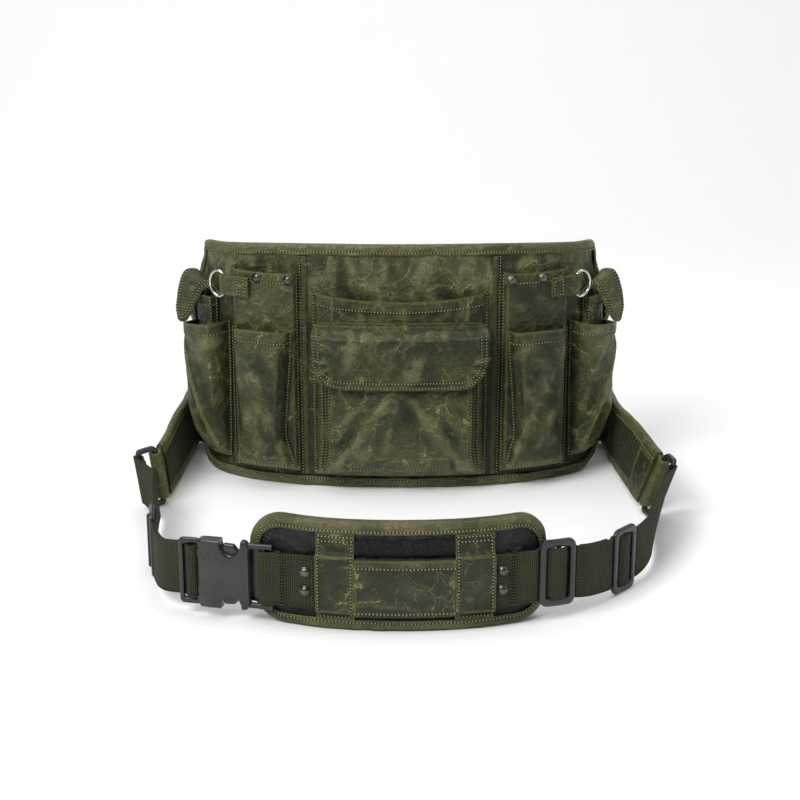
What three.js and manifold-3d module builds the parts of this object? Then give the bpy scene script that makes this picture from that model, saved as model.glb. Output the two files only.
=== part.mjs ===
// Gardening tool belt of waxed leather: a curved panel of pockets, two padded wings, a webbing
// strap with a side release buckle and three sliders, and a padded rest that the strap runs over.
// Millimetres, +Z up. The belt stands on its lower edges, and the pockets face -Y.
import * as THREE from "three";
import Module from "manifold-3d";

const wasm = await Module();
wasm.setup();

// Clearances between pieces that touch on the real belt
const seam = 0.3;
const channelSlack = 0.9;
const foldSlack = 0.6;
const windowSlack = 0.9;

// The panel, flat sizes before it is bent round the wearer
const panelHalf = 205;
const panelTall = 221;
const panelThick = 4;
const panelLowCorner = 36;
const panelTopCorner = 12;
const panelDip = 14;
// Its plan is a curve whose heading turns slowly at first and sharply near the ends (radians)
const panelTurn = 0.383;
const panelEndTurn = 0.929;
const panelTurnPower = 4;

// Bound edges
const bindingWide = 8.8;
const bindingWall = 1.3;

// Walls
const pocketWall = 1.6;
const tabWall = 1.5;
const flapWall = 2.4;

// The whole loop in plan: half its width at the wing ends, and from the panel to the back rest
const loopHalf = 205;
const loopDeep = 285;

// Wings
const wingThick = 3;
const wingRootTall = 63;
const wingLap = 15;
const meshThick = 1;

// Strap and its hardware
const webWide = 43;
const webThick = 2;
const barThick = 2.6;
const barWide = 3.6;
const hardwareTall = 54;
const sliderLong = 29;

// Back rest
const padHalf = 117;
const padTall = 87;
const padThick = 9;
const padCorner = 27;
const padEndDrop = 7.5;

// Rings and rivets
const ringWire = 2.4;
const ringInside = 21;
const ringReach = 14;
const ringShoulder = 4;
const rivetAcross = 8;
const rivetHigh = 2.2;

const colours = {
  waxed: { color: 0x3d4524, roughness: 0.62, metalness: 0 },
  piping: { color: 0x59602f, roughness: 0.66, metalness: 0 },
  webbing: { color: 0x4b5133, roughness: 0.9, metalness: 0 },
  mesh: { color: 0x23281a, roughness: 0.95, metalness: 0 },
  felt: { color: 0x1a1b1a, roughness: 1, metalness: 0 },
  lining: { color: 0x25272a, roughness: 0.7, metalness: 0 },
  plastic: { color: 0x3a3b3b, roughness: 0.45, metalness: 0 },
  rivet: { color: 0x4c4a42, roughness: 0.35, metalness: 0.9 },
  nickel: { color: 0xbdbbb2, roughness: 0.22, metalness: 1 },
};

const belt = new THREE.Group();
belt.name = "gardening_tool_belt";

function addPiece(name, geometry, look) {
  const mesh = new THREE.Mesh(geometry, new THREE.MeshStandardMaterial(colours[look]));
  mesh.name = name;
  belt.add(mesh);
  return mesh;
}

// Numbers

const lerp = THREE.MathUtils.lerp;
const sideName = (side) => (side < 0 ? "left" : "right");

// A smooth value from a table whose rows have an "at" and the named column
function column(rows, name, at) {
  const last = rows.length - 1;
  if (at <= rows[0].at) return rows[0][name];
  if (at >= rows[last].at) return rows[last][name];
  const i = rows.findIndex((row, k) => k > 0 && row.at >= at);
  const share = (at - rows[i - 1].at) / (rows[i].at - rows[i - 1].at);
  return lerp(rows[i - 1][name], rows[i][name], share * share * (3 - 2 * share));
}

// Even steps from one value to another, none longer than the given one
function steps(from, to, longest) {
  const count = Math.max(1, Math.ceil(Math.abs(to - from) / longest));
  return Array.from({ length: count + 1 }, (_, k) => lerp(from, to, k / count));
}

// Closed solids from grids of points

// Turns the faces outwards, whichever way round the grid was walked
function facingOut(points, index) {
  let volume = 0;
  for (let k = 0; k < index.length; k += 3) {
    const [a, b, c] = [points[index[k]], points[index[k + 1]], points[index[k + 2]]];
    volume += a.dot(b.clone().cross(c));
  }
  if (volume < 0) {
    for (let k = 0; k < index.length; k += 3) {
      [index[k + 1], index[k + 2]] = [index[k + 2], index[k + 1]];
    }
  }
  const geometry = new THREE.BufferGeometry().setFromPoints(points);
  geometry.setIndex(index);
  geometry.computeVertexNormals();
  return geometry;
}

// A wall between two grids with the same rows and columns, closed all round its rim
function wallBetween(front, back) {
  const rows = front.length;
  const cols = front[0].length;
  const points = [...front.flat(), ...back.flat()];
  const outer = (i, j) => i * cols + j;
  const inner = (i, j) => rows * cols + i * cols + j;
  const index = [];
  const quad = (a, b, c, d) => index.push(a, b, c, a, c, d);
  for (let i = 0; i + 1 < rows; i += 1) {
    for (let j = 0; j + 1 < cols; j += 1) {
      quad(outer(i, j), outer(i, j + 1), outer(i + 1, j + 1), outer(i + 1, j));
      quad(inner(i, j), inner(i + 1, j), inner(i + 1, j + 1), inner(i, j + 1));
    }
    quad(outer(i, 0), outer(i + 1, 0), inner(i + 1, 0), inner(i, 0));
    const j = cols - 1;
    quad(outer(i + 1, j), outer(i, j), inner(i, j), inner(i + 1, j));
  }
  for (let j = 0; j + 1 < cols; j += 1) {
    quad(outer(0, j + 1), outer(0, j), inner(0, j), inner(0, j + 1));
    const i = rows - 1;
    quad(outer(i, j), outer(i, j + 1), inner(i, j + 1), inner(i, j));
  }
  return facingOut(points, index);
}

// Sections joined in a ring, each a closed outline with the same number of points
function ringOf(sections) {
  const count = sections.length;
  const sides = sections[0].length;
  const points = sections.flat();
  const index = [];
  for (let i = 0; i < count; i += 1) {
    for (let j = 0; j < sides; j += 1) {
      const [a, b] = [i * sides + j, i * sides + ((j + 1) % sides)];
      const [d, c] = [((i + 1) % count) * sides + j, ((i + 1) % count) * sides + ((j + 1) % sides)];
      index.push(a, b, c, a, c, d);
    }
  }
  return facingOut(points, index);
}

// Flat points [along, up, out] offset inwards by a wall, square to the surface that they lie on
function offsetInwards(grid, wall, least) {
  const rows = grid.length;
  const cols = grid[0].length;
  const at = (i, j) => new THREE.Vector3(...grid[i][j]);
  return grid.map((row, i) =>
    row.map((_, j) => {
      const along = at(i, Math.min(j + 1, cols - 1)).sub(at(i, Math.max(j - 1, 0)));
      const up = at(Math.min(i + 1, rows - 1), j).sub(at(Math.max(i - 1, 0), j));
      const normal = along.cross(up).normalize();
      if (normal.z < 0) normal.negate();
      const p = at(i, j).addScaledVector(normal, -wall);
      return [p.x, p.y, Math.max(p.z, least)];
    }),
  );
}

// Plans: a dense line of points, walked by its length

function makePlan(points, zeroIndex) {
  const at = [0];
  for (let k = 1; k < points.length; k += 1) {
    const [a, b] = [points[k - 1], points[k]];
    at.push(at[k - 1] + Math.hypot(b.x - a.x, b.y - a.y));
  }
  const zero = at[zeroIndex];
  const heading = points.map((_, k) => {
    const a = points[Math.max(k - 1, 0)];
    const b = points[Math.min(k + 1, points.length - 1)];
    const run = Math.hypot(b.x - a.x, b.y - a.y);
    return { x: (b.x - a.x) / run, y: (b.y - a.y) / run };
  });
  const find = (length) => {
    let [low, high] = [0, at.length - 1];
    while (high - low > 1) {
      const middle = (low + high) >> 1;
      if (at[middle] > length) high = middle;
      else low = middle;
    }
    return low;
  };
  return {
    start: -zero,
    end: at[at.length - 1] - zero,
    lengthAt: (k) => at[k] - zero,
    on(length) {
      const k = find(length + zero);
      const share = (length + zero - at[k]) / (at[k + 1] - at[k]);
      const tx = lerp(heading[k].x, heading[k + 1].x, THREE.MathUtils.clamp(share, 0, 1));
      const ty = lerp(heading[k].y, heading[k + 1].y, THREE.MathUtils.clamp(share, 0, 1));
      const run = Math.hypot(tx, ty);
      return {
        x: lerp(points[k].x, points[k + 1].x, share),
        y: lerp(points[k].y, points[k + 1].y, share),
        tx: tx / run,
        ty: ty / run,
      };
    },
  };
}

// The panel's plan, from its middle to one end, mirrored for the other
function panelLine() {
  const half = [{ x: 0, y: 0 }];
  const stride = 1;
  for (let u = stride; u <= panelHalf + stride / 2; u += stride) {
    const share = (u - stride / 2) / panelHalf;
    const turn = panelTurn * share + panelEndTurn * share ** panelTurnPower;
    const last = half[half.length - 1];
    half.push({ x: last.x + stride * Math.cos(turn), y: last.y + stride * Math.sin(turn) });
  }
  const mirrored = half.slice(1).reverse().map((p) => ({ x: -p.x, y: p.y }));
  return makePlan([...mirrored, ...half], half.length - 1);
}
const panelPlan = panelLine();

// A point of the panel: along its curve, up from the floor, and out from its front face
function onPanel(along, up, out) {
  const p = panelPlan.on(along);
  return new THREE.Vector3(p.x + p.ty * out, p.y - p.tx * out, up);
}

// The strap's plan. Shares of the loop's half width and depth, from the left wing's bend round
// the front to the right wing's bend; rise is how far the webbing's lower edge stands clear.
const strapStations = [
  { mark: "wing_left", side: -0.933, front: -0.34, rise: 5.5 },
  { side: -0.955, front: -0.18, rise: 5.5 },
  { side: -0.97, front: -0.03, rise: 5.5 },
  { mark: "wing_end_left", side: -0.985, front: 0.13, rise: 5.5 },
  { side: -0.985, front: 0.3, rise: 5.5 },
  { side: -0.972, front: 0.46, rise: 5.5 },
  { mark: "slider_left", side: -0.957, front: 0.615, rise: 5.5 },
  { side: -0.925, front: 0.745, rise: 8 },
  { side: -0.878, front: 0.835, rise: 12 },
  { side: -0.8, front: 0.887, rise: 15 },
  { side: -0.665, front: 0.918, rise: 16.5 },
  { mark: "female", side: -0.525, front: 0.94, rise: 16.5 },
  { side: -0.268, front: 0.985, rise: 17 },
  { mark: "pad", side: 0, front: 1, rise: 17 },
  { side: 0.268, front: 0.985, rise: 17 },
  { side: 0.525, front: 0.94, rise: 18 },
  { mark: "slider_front", side: 0.576, front: 0.9245, rise: 18 },
  { side: 0.7, front: 0.866, rise: 12 },
  { mark: "slider_rear", side: 0.845, front: 0.742, rise: 5.5 },
  { side: 0.925, front: 0.665, rise: 5.5 },
  { side: 0.972, front: 0.58, rise: 5.5 },
  { side: 0.995, front: 0.46, rise: 5.5 },
  { side: 1.003, front: 0.33, rise: 5.5 },
  { mark: "wing_end_right", side: 1.005, front: 0.19, rise: 5.5 },
  { side: 0.985, front: 0.03, rise: 5.5 },
  { side: 0.955, front: -0.15, rise: 5.5 },
  { mark: "wing_right", side: 0.933, front: -0.34, rise: 5.5 },
];

// How far the sides of the loop lean outwards at the top, by their place from back to front
const leanRows = {
  left: [
    { at: -0.24, lean: 0 },
    { at: 0.15, lean: 0.14 },
    { at: 0.34, lean: 0.08 },
    { at: 0.56, lean: 0 },
  ],
  right: [
    { at: -0.24, lean: 0 },
    { at: 0.18, lean: 0.36 },
    { at: 0.42, lean: 0.24 },
    { at: 0.66, lean: 0 },
  ],
};

function leaning(x, y, z) {
  const side = x < 0 ? -1 : 1;
  const lean = column(leanRows[sideName(side)], "lean", -y / loopDeep);
  return new THREE.Vector3(x + side * z * lean, y, z);
}

// The bend from the back of the panel's end round to the wing
function wingBend(side) {
  const out = panelThick + 2 * (foldSlack + bindingWall + seam) + wingThick / 2;
  const lap = [];
  for (const along of steps(panelHalf - wingLap, panelHalf, 1)) {
    const p = panelPlan.on(side * along);
    lap.push({ x: p.x - p.ty * out, y: p.y + p.tx * out });
  }
  const root = lap[lap.length - 1];
  const before = lap[lap.length - 2];
  const run = Math.hypot(root.x - before.x, root.y - before.y);
  const from = strapStations[side < 0 ? 0 : strapStations.length - 1];
  const target = { x: from.side * loopHalf, y: -from.front * loopDeep };
  const reach = 3.2 * Math.abs(target.x - root.x);
  const curve = new THREE.CubicBezierCurve(
    new THREE.Vector2(root.x, root.y),
    new THREE.Vector2(
      root.x + ((root.x - before.x) / run) * reach * 0.62,
      root.y + ((root.y - before.y) / run) * reach * 0.62,
    ),
    new THREE.Vector2(target.x, target.y + reach * 0.45),
    new THREE.Vector2(target.x, target.y),
  );
  return [...lap, ...curve.getPoints(40).slice(1, -1)];
}

function strapLine() {
  const stations = strapStations.map(
    (row) => new THREE.Vector3(row.side * loopHalf, -row.front * loopDeep, row.rise),
  );
  const curve = new THREE.CatmullRomCurve3(stations, false, "centripetal");
  const perSpan = 16;
  const middle = curve.getPoints((stations.length - 1) * perSpan);
  const left = wingBend(-1);
  const right = wingBend(1).reverse();
  const points = [...left, ...middle, ...right];
  const marks = {};
  const pad = strapStations.findIndex((row) => row.mark === "pad");
  const plan = makePlan(points, left.length + pad * perSpan);
  strapStations.forEach((row, k) => {
    if (row.mark) marks[row.mark] = plan.lengthAt(left.length + k * perSpan);
  });
  const rises = middle.map((p, k) => ({ at: plan.lengthAt(left.length + k), rise: p.z }));
  return { plan, marks, rises };
}
const strap = strapLine();

function riseAt(along) {
  const rows = strap.rises;
  const k = rows.findIndex((row) => row.at >= along);
  if (k <= 0) return k === 0 ? rows[0].rise : rows[rows.length - 1].rise;
  const share = (along - rows[k - 1].at) / (rows[k].at - rows[k - 1].at);
  return lerp(rows[k - 1].rise, rows[k].rise, share);
}

// A point of the loop: along it, up from the floor, and out from its middle surface
function onLoop(along, up, out) {
  const p = strap.plan.on(along);
  return leaning(p.x + p.ty * out, p.y - p.tx * out, up);
}

// Rounded outlines of bound pieces: the lower corners, the upper corners and a dip at the ends

function roundedEdge(shape, inset) {
  const half = shape.half - inset;
  const cut = (corner, along) => {
    const radius = corner - inset;
    const past = Math.max(0, Math.abs(along) - (shape.half - corner));
    return radius - Math.sqrt(Math.max(0, radius * radius - past * past));
  };
  const dip = (along) => shape.dip * (Math.abs(along) / shape.half) ** 3;
  return {
    half,
    low: (along) => inset + cut(shape.lowCorner, along),
    high: (along) => shape.tall - inset - dip(along) - cut(shape.topCorner, along),
  };
}

const cornerShares = [0.31, 0.59, 0.81, 0.95];

// Columns across a bound piece, closer together round its corners
function columnsOf(shape, inset, longest) {
  const corner = Math.max(shape.lowCorner, shape.topCorner);
  const flat = shape.half - corner;
  const side = cornerShares.map((share) => flat + (corner - inset) * share);
  const ends = [...side, shape.half - inset];
  return [...ends.map((u) => -u).reverse(), ...steps(-flat, flat, longest), ...ends];
}

// The outline walked once round as [along, up] with the direction that points outwards
const uprightStep = 40;
function outlineOf(shape, longest) {
  const points = [];
  const arc = (centreU, centreV, radius, from) => {
    for (const turn of steps(from, from + Math.PI / 2, Math.PI / 10)) {
      points.push([centreU + radius * Math.cos(turn), centreV + radius * Math.sin(turn)]);
    }
  };
  const { half, tall, lowCorner, topCorner, dip } = shape;
  const drop = (u) => dip * (Math.abs(u) / half) ** 3;
  const lowFlat = half - lowCorner;
  const topFlat = half - topCorner;
  for (const u of steps(-lowFlat, lowFlat, longest).slice(1, -1)) points.push([u, 0]);
  arc(lowFlat, lowCorner, lowCorner, -Math.PI / 2);
  for (const v of steps(lowCorner, tall - topCorner - drop(half), uprightStep).slice(1, -1)) {
    points.push([half, v]);
  }
  const topArc = points.length;
  arc(topFlat, tall - topCorner, topCorner, 0);
  for (let k = topArc; k < points.length; k += 1) points[k][1] -= drop(points[k][0]);
  const across = steps(topFlat, -topFlat, longest).slice(1, -1);
  for (const u of across) points.push([u, tall - drop(u)]);
  const farArc = points.length;
  arc(-topFlat, tall - topCorner, topCorner, Math.PI / 2);
  for (let k = farArc; k < points.length; k += 1) points[k][1] -= drop(points[k][0]);
  for (const v of steps(tall - topCorner - drop(half), lowCorner, uprightStep).slice(1, -1)) {
    points.push([-half, v]);
  }
  arc(-lowFlat, lowCorner, lowCorner, Math.PI);
  return points.map(([u, v], k) => {
    const [a, b] = [points.at(k - 1), points[(k + 1) % points.length]];
    const run = Math.hypot(b[0] - a[0], b[1] - a[1]);
    return { u, v, nu: (b[1] - a[1]) / run, nv: (a[0] - b[0]) / run };
  });
}

// A folded edging round an outline: a channel open inwards, from out = back to out = front
function edging(shape, longest, back, front, place) {
  const [outBack, outFront] = [back - foldSlack - bindingWall, front + foldSlack + bindingWall];
  const section = [
    { deep: 0, out: outFront },
    { deep: bindingWide, out: outFront },
    { deep: bindingWide, out: front + foldSlack },
    { deep: bindingWall, out: front + foldSlack },
    { deep: bindingWall, out: back - foldSlack },
    { deep: bindingWide, out: back - foldSlack },
    { deep: bindingWide, out: outBack },
    { deep: 0, out: outBack },
  ];
  return ringOf(
    outlineOf(shape, longest).map(({ u, v, nu, nv }) =>
      section.map(({ deep, out }) => place(u - nu * deep, v - nv * deep, out)),
    ),
  );
}

// A slab with a rounded outline, lying in the channel of its edging
function boundSlab(shape, longest, back, front, place) {
  const inset = bindingWall + channelSlack;
  const edge = roundedEdge(shape, inset);
  const heights = [0, 0.5, 1];
  const face = (out) =>
    columnsOf(shape, inset, longest).map((u) =>
      heights.map((share) => place(u, lerp(edge.low(u), edge.high(u), share), out)),
    );
  return wallBetween(face(front), face(back));
}

const panelStep = 14.7;
const panelShape = {
  half: panelHalf,
  tall: panelTall,
  lowCorner: panelLowCorner,
  topCorner: panelTopCorner,
  dip: panelDip,
};

addPiece("back_panel", boundSlab(panelShape, panelStep, -panelThick, 0, onPanel), "waxed");
addPiece("panel_binding", edging(panelShape, panelStep, -panelThick, 0, onPanel), "piping");

// Pockets: a wall sewn down at both sides and below, open above

// Cross sections: across is a share of the half width, out of the depth
const boxSection = [
  { at: -1, out: 0 },
  { at: -0.95, out: 0 },
  { at: -0.91, out: 0.5 },
  { at: -0.85, out: 0.86 },
  { at: -0.55, out: 0.97 },
  { at: 0, out: 1 },
  { at: 0.55, out: 0.97 },
  { at: 0.85, out: 0.86 },
  { at: 0.91, out: 0.5 },
  { at: 0.95, out: 0 },
  { at: 1, out: 0 },
];
const flatSection = [
  { at: -1, out: 0 },
  { at: -0.975, out: 0 },
  { at: -0.95, out: 0.72 },
  { at: -0.91, out: 0.98 },
  { at: -0.45, out: 1 },
  { at: 0, out: 1 },
  { at: 0.45, out: 1 },
  { at: 0.91, out: 0.98 },
  { at: 0.95, out: 0.72 },
  { at: 0.975, out: 0 },
  { at: 1, out: 0 },
];
const slackSection = [
  { at: -1, out: 0 },
  { at: -0.94, out: 0 },
  { at: -0.84, out: 0.5 },
  { at: -0.64, out: 0.84 },
  { at: -0.3, out: 0.98 },
  { at: 0, out: 1 },
  { at: 0.3, out: 0.98 },
  { at: 0.64, out: 0.84 },
  { at: 0.84, out: 0.5 },
  { at: 0.94, out: 0 },
  { at: 1, out: 0 },
];

// A pocket's wall, drawn for the right side and mirrored for the left. Its rows climb from the
// foot to the mouth: inner and outer are its edges as shares of its width, out is a share of its
// depth. The mouth dips in its middle.
function pocket(name, size, section, rows) {
  const side = size.side ?? 1;
  const wide = size.to - size.from;
  const seat = size.seat + seam;
  const grid = rows.map((row) =>
    section.map((part) => {
      const dip = size.mouthDip * (1 - part.at * part.at);
      const corner = size.cornerDrop * part.at ** 4 * (1 - row.at);
      return [
        side * (size.from + wide * lerp(row.inner, row.outer, (part.at + 1) / 2)),
        lerp(size.foot - corner, size.mouth - dip, row.at),
        seat + pocketWall + (size.deep - pocketWall) * row.out * part.out,
      ];
    }),
  );
  const inner = offsetInwards(grid, pocketWall, seat);
  const place = (p) => onPanel(...p);
  const wall = wallBetween(
    grid.map((row) => row.map(place)),
    inner.map((row) => row.map(place)),
  );
  addPiece(name, wall, "waxed");
  const last = rows[rows.length - 1];
  return {
    outerFace: seat + size.deep,
    mouthFace: (along) => {
      const share = (2 * (along - size.from)) / wide - 1;
      const k = Math.max(1, section.findIndex((part) => part.at >= share));
      const [a, b] = [section[k - 1], section[k]];
      const out = lerp(a.out, b.out, (share - a.at) / (b.at - a.at));
      return seat + pocketWall + (size.deep - pocketWall) * last.out * out;
    },
  };
}

// The long pocket in the middle, as tall as the panel allows
const centreHalf = 75;
const centreMouth = 180;
const centreMouthDip = 7;
const centreFoot = 12;
const centreDeep = 9;
const centrePocketRows = [
  { at: 0, inner: 0, outer: 1, out: 0 },
  { at: 0.05, inner: 0, outer: 1, out: 0.94 },
  { at: 0.7, inner: 0, outer: 1, out: 1 },
  { at: 1, inner: 0, outer: 1, out: 1 },
];
const centrePocket = pocket(
  "tool_pocket_centre",
  {
    from: -centreHalf,
    to: centreHalf,
    seat: 0,
    deep: centreDeep,
    foot: centreFoot,
    mouth: centreMouth,
    mouthDip: centreMouthDip,
    cornerDrop: 0,
  },
  flatSection,
  centrePocketRows,
);

// The flap pocket on its front
const flapPocketHalf = 69;
const flapPocketMouth = 143;
const flapPocketFoot = 20;
const flapPocketDeep = 18;
const flapPocketRows = [
  { at: 0, inner: 0, outer: 1, out: 0.06 },
  { at: 0.05, inner: 0, outer: 1, out: 0.5 },
  { at: 0.16, inner: 0.015, outer: 0.985, out: 0.82 },
  { at: 0.45, inner: 0.015, outer: 0.985, out: 1 },
  { at: 0.8, inner: 0.01, outer: 0.99, out: 0.86 },
  { at: 1, inner: 0, outer: 1, out: 0.68 },
];
const flapPocket = pocket(
  "flap_pocket",
  {
    from: -flapPocketHalf,
    to: flapPocketHalf,
    seat: centrePocket.outerFace,
    deep: flapPocketDeep,
    foot: flapPocketFoot,
    mouth: flapPocketMouth,
    mouthDip: 1,
    cornerDrop: 4,
  },
  boxSection,
  flapPocketRows,
);

// Its flap, sewn to the long pocket above the mouth and hanging in front
const flapHalf = 72.5;
const flapFoot = 101;
const flapHinge = 150;
const flapCorner = 26;
const flapStep = 26;
const flapLift = 1.2;

function centreFlap() {
  const root = centrePocket.outerFace + seam;
  const front = flapPocket.outerFace + flapLift;
  const fall = [
    { down: -0.1, out: 0 },
    { down: -0.03, out: 0 },
    { down: 0, out: 0.4 },
    { down: 0.09, out: 0.86 },
    { down: 0.3, out: 0.96 },
    { down: 0.6, out: 1 },
    { down: 1, out: 1 },
  ];
  const flat = flapHalf - flapCorner;
  const turned = cornerShares.map((share) => flat + flapCorner * share);
  const half = [...turned, flapHalf];
  const across = [...half.map((u) => -u).reverse(), ...steps(-flat, flat, flapStep), ...half];
  const grid = fall.map((row) =>
    across.map((u) => {
      const past = Math.max(0, Math.abs(u) - flat);
      const cut = flapCorner - Math.sqrt(Math.max(0, flapCorner ** 2 - past ** 2));
      const droop = 1 - 0.25 * (Math.abs(u) / flapHalf) ** 6;
      return [
        u,
        lerp(flapHinge, flapFoot + cut, row.down),
        root + flapWall + (front - root) * row.out * droop,
      ];
    }),
  );
  const inner = offsetInwards(grid, flapWall, root);
  addPiece(
    "centre_flap",
    wallBetween(
      grid.map((row) => row.map((p) => onPanel(...p))),
      inner.map((row) => row.map((p) => onPanel(...p))),
    ),
    "waxed",
  );
}
centreFlap();

// The welted seams beside the middle pockets
const weltAlong = 82;
const weltWide = 5;
const weltHigh = 1.6;
const weltFoot = 11;

function strip(name, look, size, place) {
  const heights = steps(size.low, size.high, 90);
  const acrossSteps = steps(size.from, size.to, 6);
  const face = (out) => heights.map((v) => acrossSteps.map((u) => place(u, v, out)));
  addPiece(name, wallBetween(face(size.outTo), face(size.outFrom)), look);
}

for (const side of [-1, 1]) {
  strip(
    "seam_welt_" + sideName(side),
    "waxed",
    {
      from: side * weltAlong - weltWide / 2,
      to: side * weltAlong + weltWide / 2,
      low: weltFoot,
      high: panelTall - weltFoot,
      outFrom: seam,
      outTo: seam + weltHigh,
    },
    onPanel,
  );
}

// The pockets between the seams and the panel's ends
const midFrom = 88;
const midTo = 146;
const tallMouth = 196;
const tallFoot = 14;
const tallDeep = 8.5;
const frontMouth = 144.5;
const frontMouthDip = -2;
const frontFoot = 20;
const frontDeep = 17;
const frontInset = 3.5;
const tallPocketRows = [
  { at: 0, inner: 0, outer: 1, out: 0 },
  { at: 0.05, inner: 0, outer: 1, out: 0.92 },
  { at: 0.55, inner: 0, outer: 1, out: 0.96 },
  { at: 1, inner: 0, outer: 1, out: 1 },
];
const frontPocketRows = [
  { at: 0, inner: 0, outer: 1, out: 0.1 },
  { at: 0.06, inner: 0.01, outer: 0.99, out: 0.62 },
  { at: 0.26, inner: 0.06, outer: 0.95, out: 1 },
  { at: 0.6, inner: 0.04, outer: 0.98, out: 0.94 },
  { at: 0.85, inner: 0.01, outer: 1, out: 0.8 },
  { at: 1, inner: 0, outer: 1, out: 0.72 },
];

// The pockets on the panel's ends
const sideFrom = 152;
const sideTo = panelHalf - bindingWide - seam;
const sideMouth = 143;
const sideMouthDip = -1.5;
const sideFoot = 20;
const sideDeep = 24;
const sidePocketRows = [
  { at: 0, inner: 0.06, outer: 0.57, out: 0.12 },
  { at: 0.06, inner: 0.05, outer: 0.71, out: 0.5 },
  { at: 0.17, inner: 0.03, outer: 0.94, out: 0.72 },
  { at: 0.35, inner: 0.02, outer: 0.99, out: 0.88 },
  { at: 0.7, inner: 0, outer: 1, out: 0.96 },
  { at: 1, inner: 0, outer: 1, out: 1 },
];

// The narrow pockets inside them, under the small flaps
const sheathFrom = 166;
const sheathTo = 187;
const sheathMouth = 166;
const sheathFoot = 40;
const sheathDeep = 9;

const tallPockets = {};
for (const side of [-1, 1]) {
  const tall = pocket(
    "tall_pocket_" + sideName(side),
    {
      side,
      from: midFrom,
      to: midTo,
      seat: 0,
      deep: tallDeep,
      foot: tallFoot,
      mouth: tallMouth,
      mouthDip: 1,
      cornerDrop: 0,
    },
    flatSection,
    tallPocketRows,
  );
  tallPockets[sideName(side)] = tall;
  pocket(
    "front_pocket_" + sideName(side),
    {
      side,
      from: midFrom + frontInset,
      to: midTo - frontInset,
      seat: tall.outerFace,
      deep: frontDeep,
      foot: frontFoot,
      mouth: frontMouth,
      mouthDip: frontMouthDip,
      cornerDrop: 2,
    },
    slackSection,
    frontPocketRows,
  );
  pocket(
    "side_pocket_" + sideName(side),
    {
      side,
      from: sideFrom,
      to: sideTo,
      seat: 0,
      deep: sideDeep,
      foot: sideFoot,
      mouth: sideMouth,
      mouthDip: sideMouthDip,
      cornerDrop: 1,
    },
    slackSection,
    sidePocketRows,
  );
  pocket(
    "side_sheath_" + sideName(side),
    {
      side,
      from: sheathFrom,
      to: sheathTo,
      seat: 0,
      deep: sheathDeep,
      foot: sheathFoot,
      mouth: sheathMouth,
      mouthDip: 0,
      cornerDrop: 0,
    },
    boxSection,
    tallPocketRows,
  );
}

// The small flaps arch from the panel's ends over the narrow pockets and hang outside
const sideFlapFrom = 164;
const sideFlapTo = 196;
const sideFlapTaper = 15;
const sideFlapRoot = 175;
const sideFlapTop = 182.5;
const sideFlapTip = 146.5;
const sideFlapOut = 17.5;
const sideFlapTongue = 5;
// From its seam over the top: how far out and up, and how far its near edge has turned back
const sideFlapFall = [
  { out: 0, up: 0, taper: 0 },
  { out: 0.06, up: 0.55, taper: 0.04 },
  { out: 0.3, up: 0.95, taper: 0.16 },
  { out: 0.62, up: 1, taper: 0.34 },
  { out: 0.88, up: 0.72, taper: 0.5 },
  { out: 1, up: 0.1, taper: 0.62 },
];
const sideFlapHangs = [
  { hang: 0.35, taper: 0.76 },
  { hang: 0.7, taper: 0.9 },
  { hang: 1, taper: 1 },
];

function sideFlap(side) {
  const across = [-1, -0.8, -0.4, 0, 0.4, 0.8, 1];
  const along = (share, row) => {
    const near = sideFlapFrom + sideFlapTaper * row.taper;
    return side * lerp(near, sideFlapTo, (share + 1) / 2);
  };
  const grid = sideFlapFall.map((row) =>
    across.map((share) => [
      along(share, row),
      sideFlapRoot + (sideFlapTop - sideFlapRoot) * row.up,
      seam + flapWall + sideFlapOut * row.out,
    ]),
  );
  for (const row of sideFlapHangs) {
    grid.push(
      across.map((share) => {
        const tongue = sideFlapTongue * (1 - Math.sqrt(1 - 0.92 * share * share));
        const narrow = row.hang === 1 ? 0.9 : 1;
        return [
          along(share * narrow, row),
          lerp(sideFlapRoot, sideFlapTip + tongue, row.hang),
          seam + flapWall + sideFlapOut * (1 + 0.06 * row.hang),
        ];
      }),
    );
  }
  // The sheet folds over, so its inner face is found from the direction of the fall
  const inner = grid.map((row, i) =>
    row.map((p, j) => {
      const a = grid[Math.max(i - 1, 0)][j];
      const b = grid[Math.min(i + 1, grid.length - 1)][j];
      const fall = new THREE.Vector2(b[2] - a[2], b[1] - a[1]).normalize();
      const out = Math.max(seam, p[2] + fall.y * flapWall);
      return [p[0], p[1] - fall.x * flapWall, out];
    }),
  );
  addPiece(
    "side_flap_" + sideName(side),
    wallBetween(
      grid.map((row) => row.map((p) => onPanel(...p))),
      inner.map((row) => row.map((p) => onPanel(...p))),
    ),
    "waxed",
  );
}
sideFlap(-1);
sideFlap(1);

// Bands folded in plan: a line of [along, out] points given a thickness and stood up
function band(line, thick, low, high, place) {
  const normal = (k) => {
    const a = line[Math.max(k - 1, 0)];
    const b = line[Math.min(k + 1, line.length - 1)];
    const run = Math.hypot(b[0] - a[0], b[1] - a[1]);
    return [-(b[1] - a[1]) / run, (b[0] - a[0]) / run];
  };
  const face = (sign) =>
    line.map(([along, out], k) => {
      const [nx, ny] = normal(k);
      const [u, w] = [along + (sign * nx * thick) / 2, out + (sign * ny * thick) / 2];
      return [place(u, low(along), w), place(u, high(along), w)];
    });
  return wallBetween(face(1), face(-1));
}

// A point given beside a bar: x runs the way the strap leaves it, y is across, turned by an angle
function besideBar(bar, onward, angle, [x, y]) {
  const [c, s] = [Math.cos(angle), Math.sin(angle)];
  return [bar.along + onward * (x * c - y * s), bar.out + x * s + y * c];
}

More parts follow.
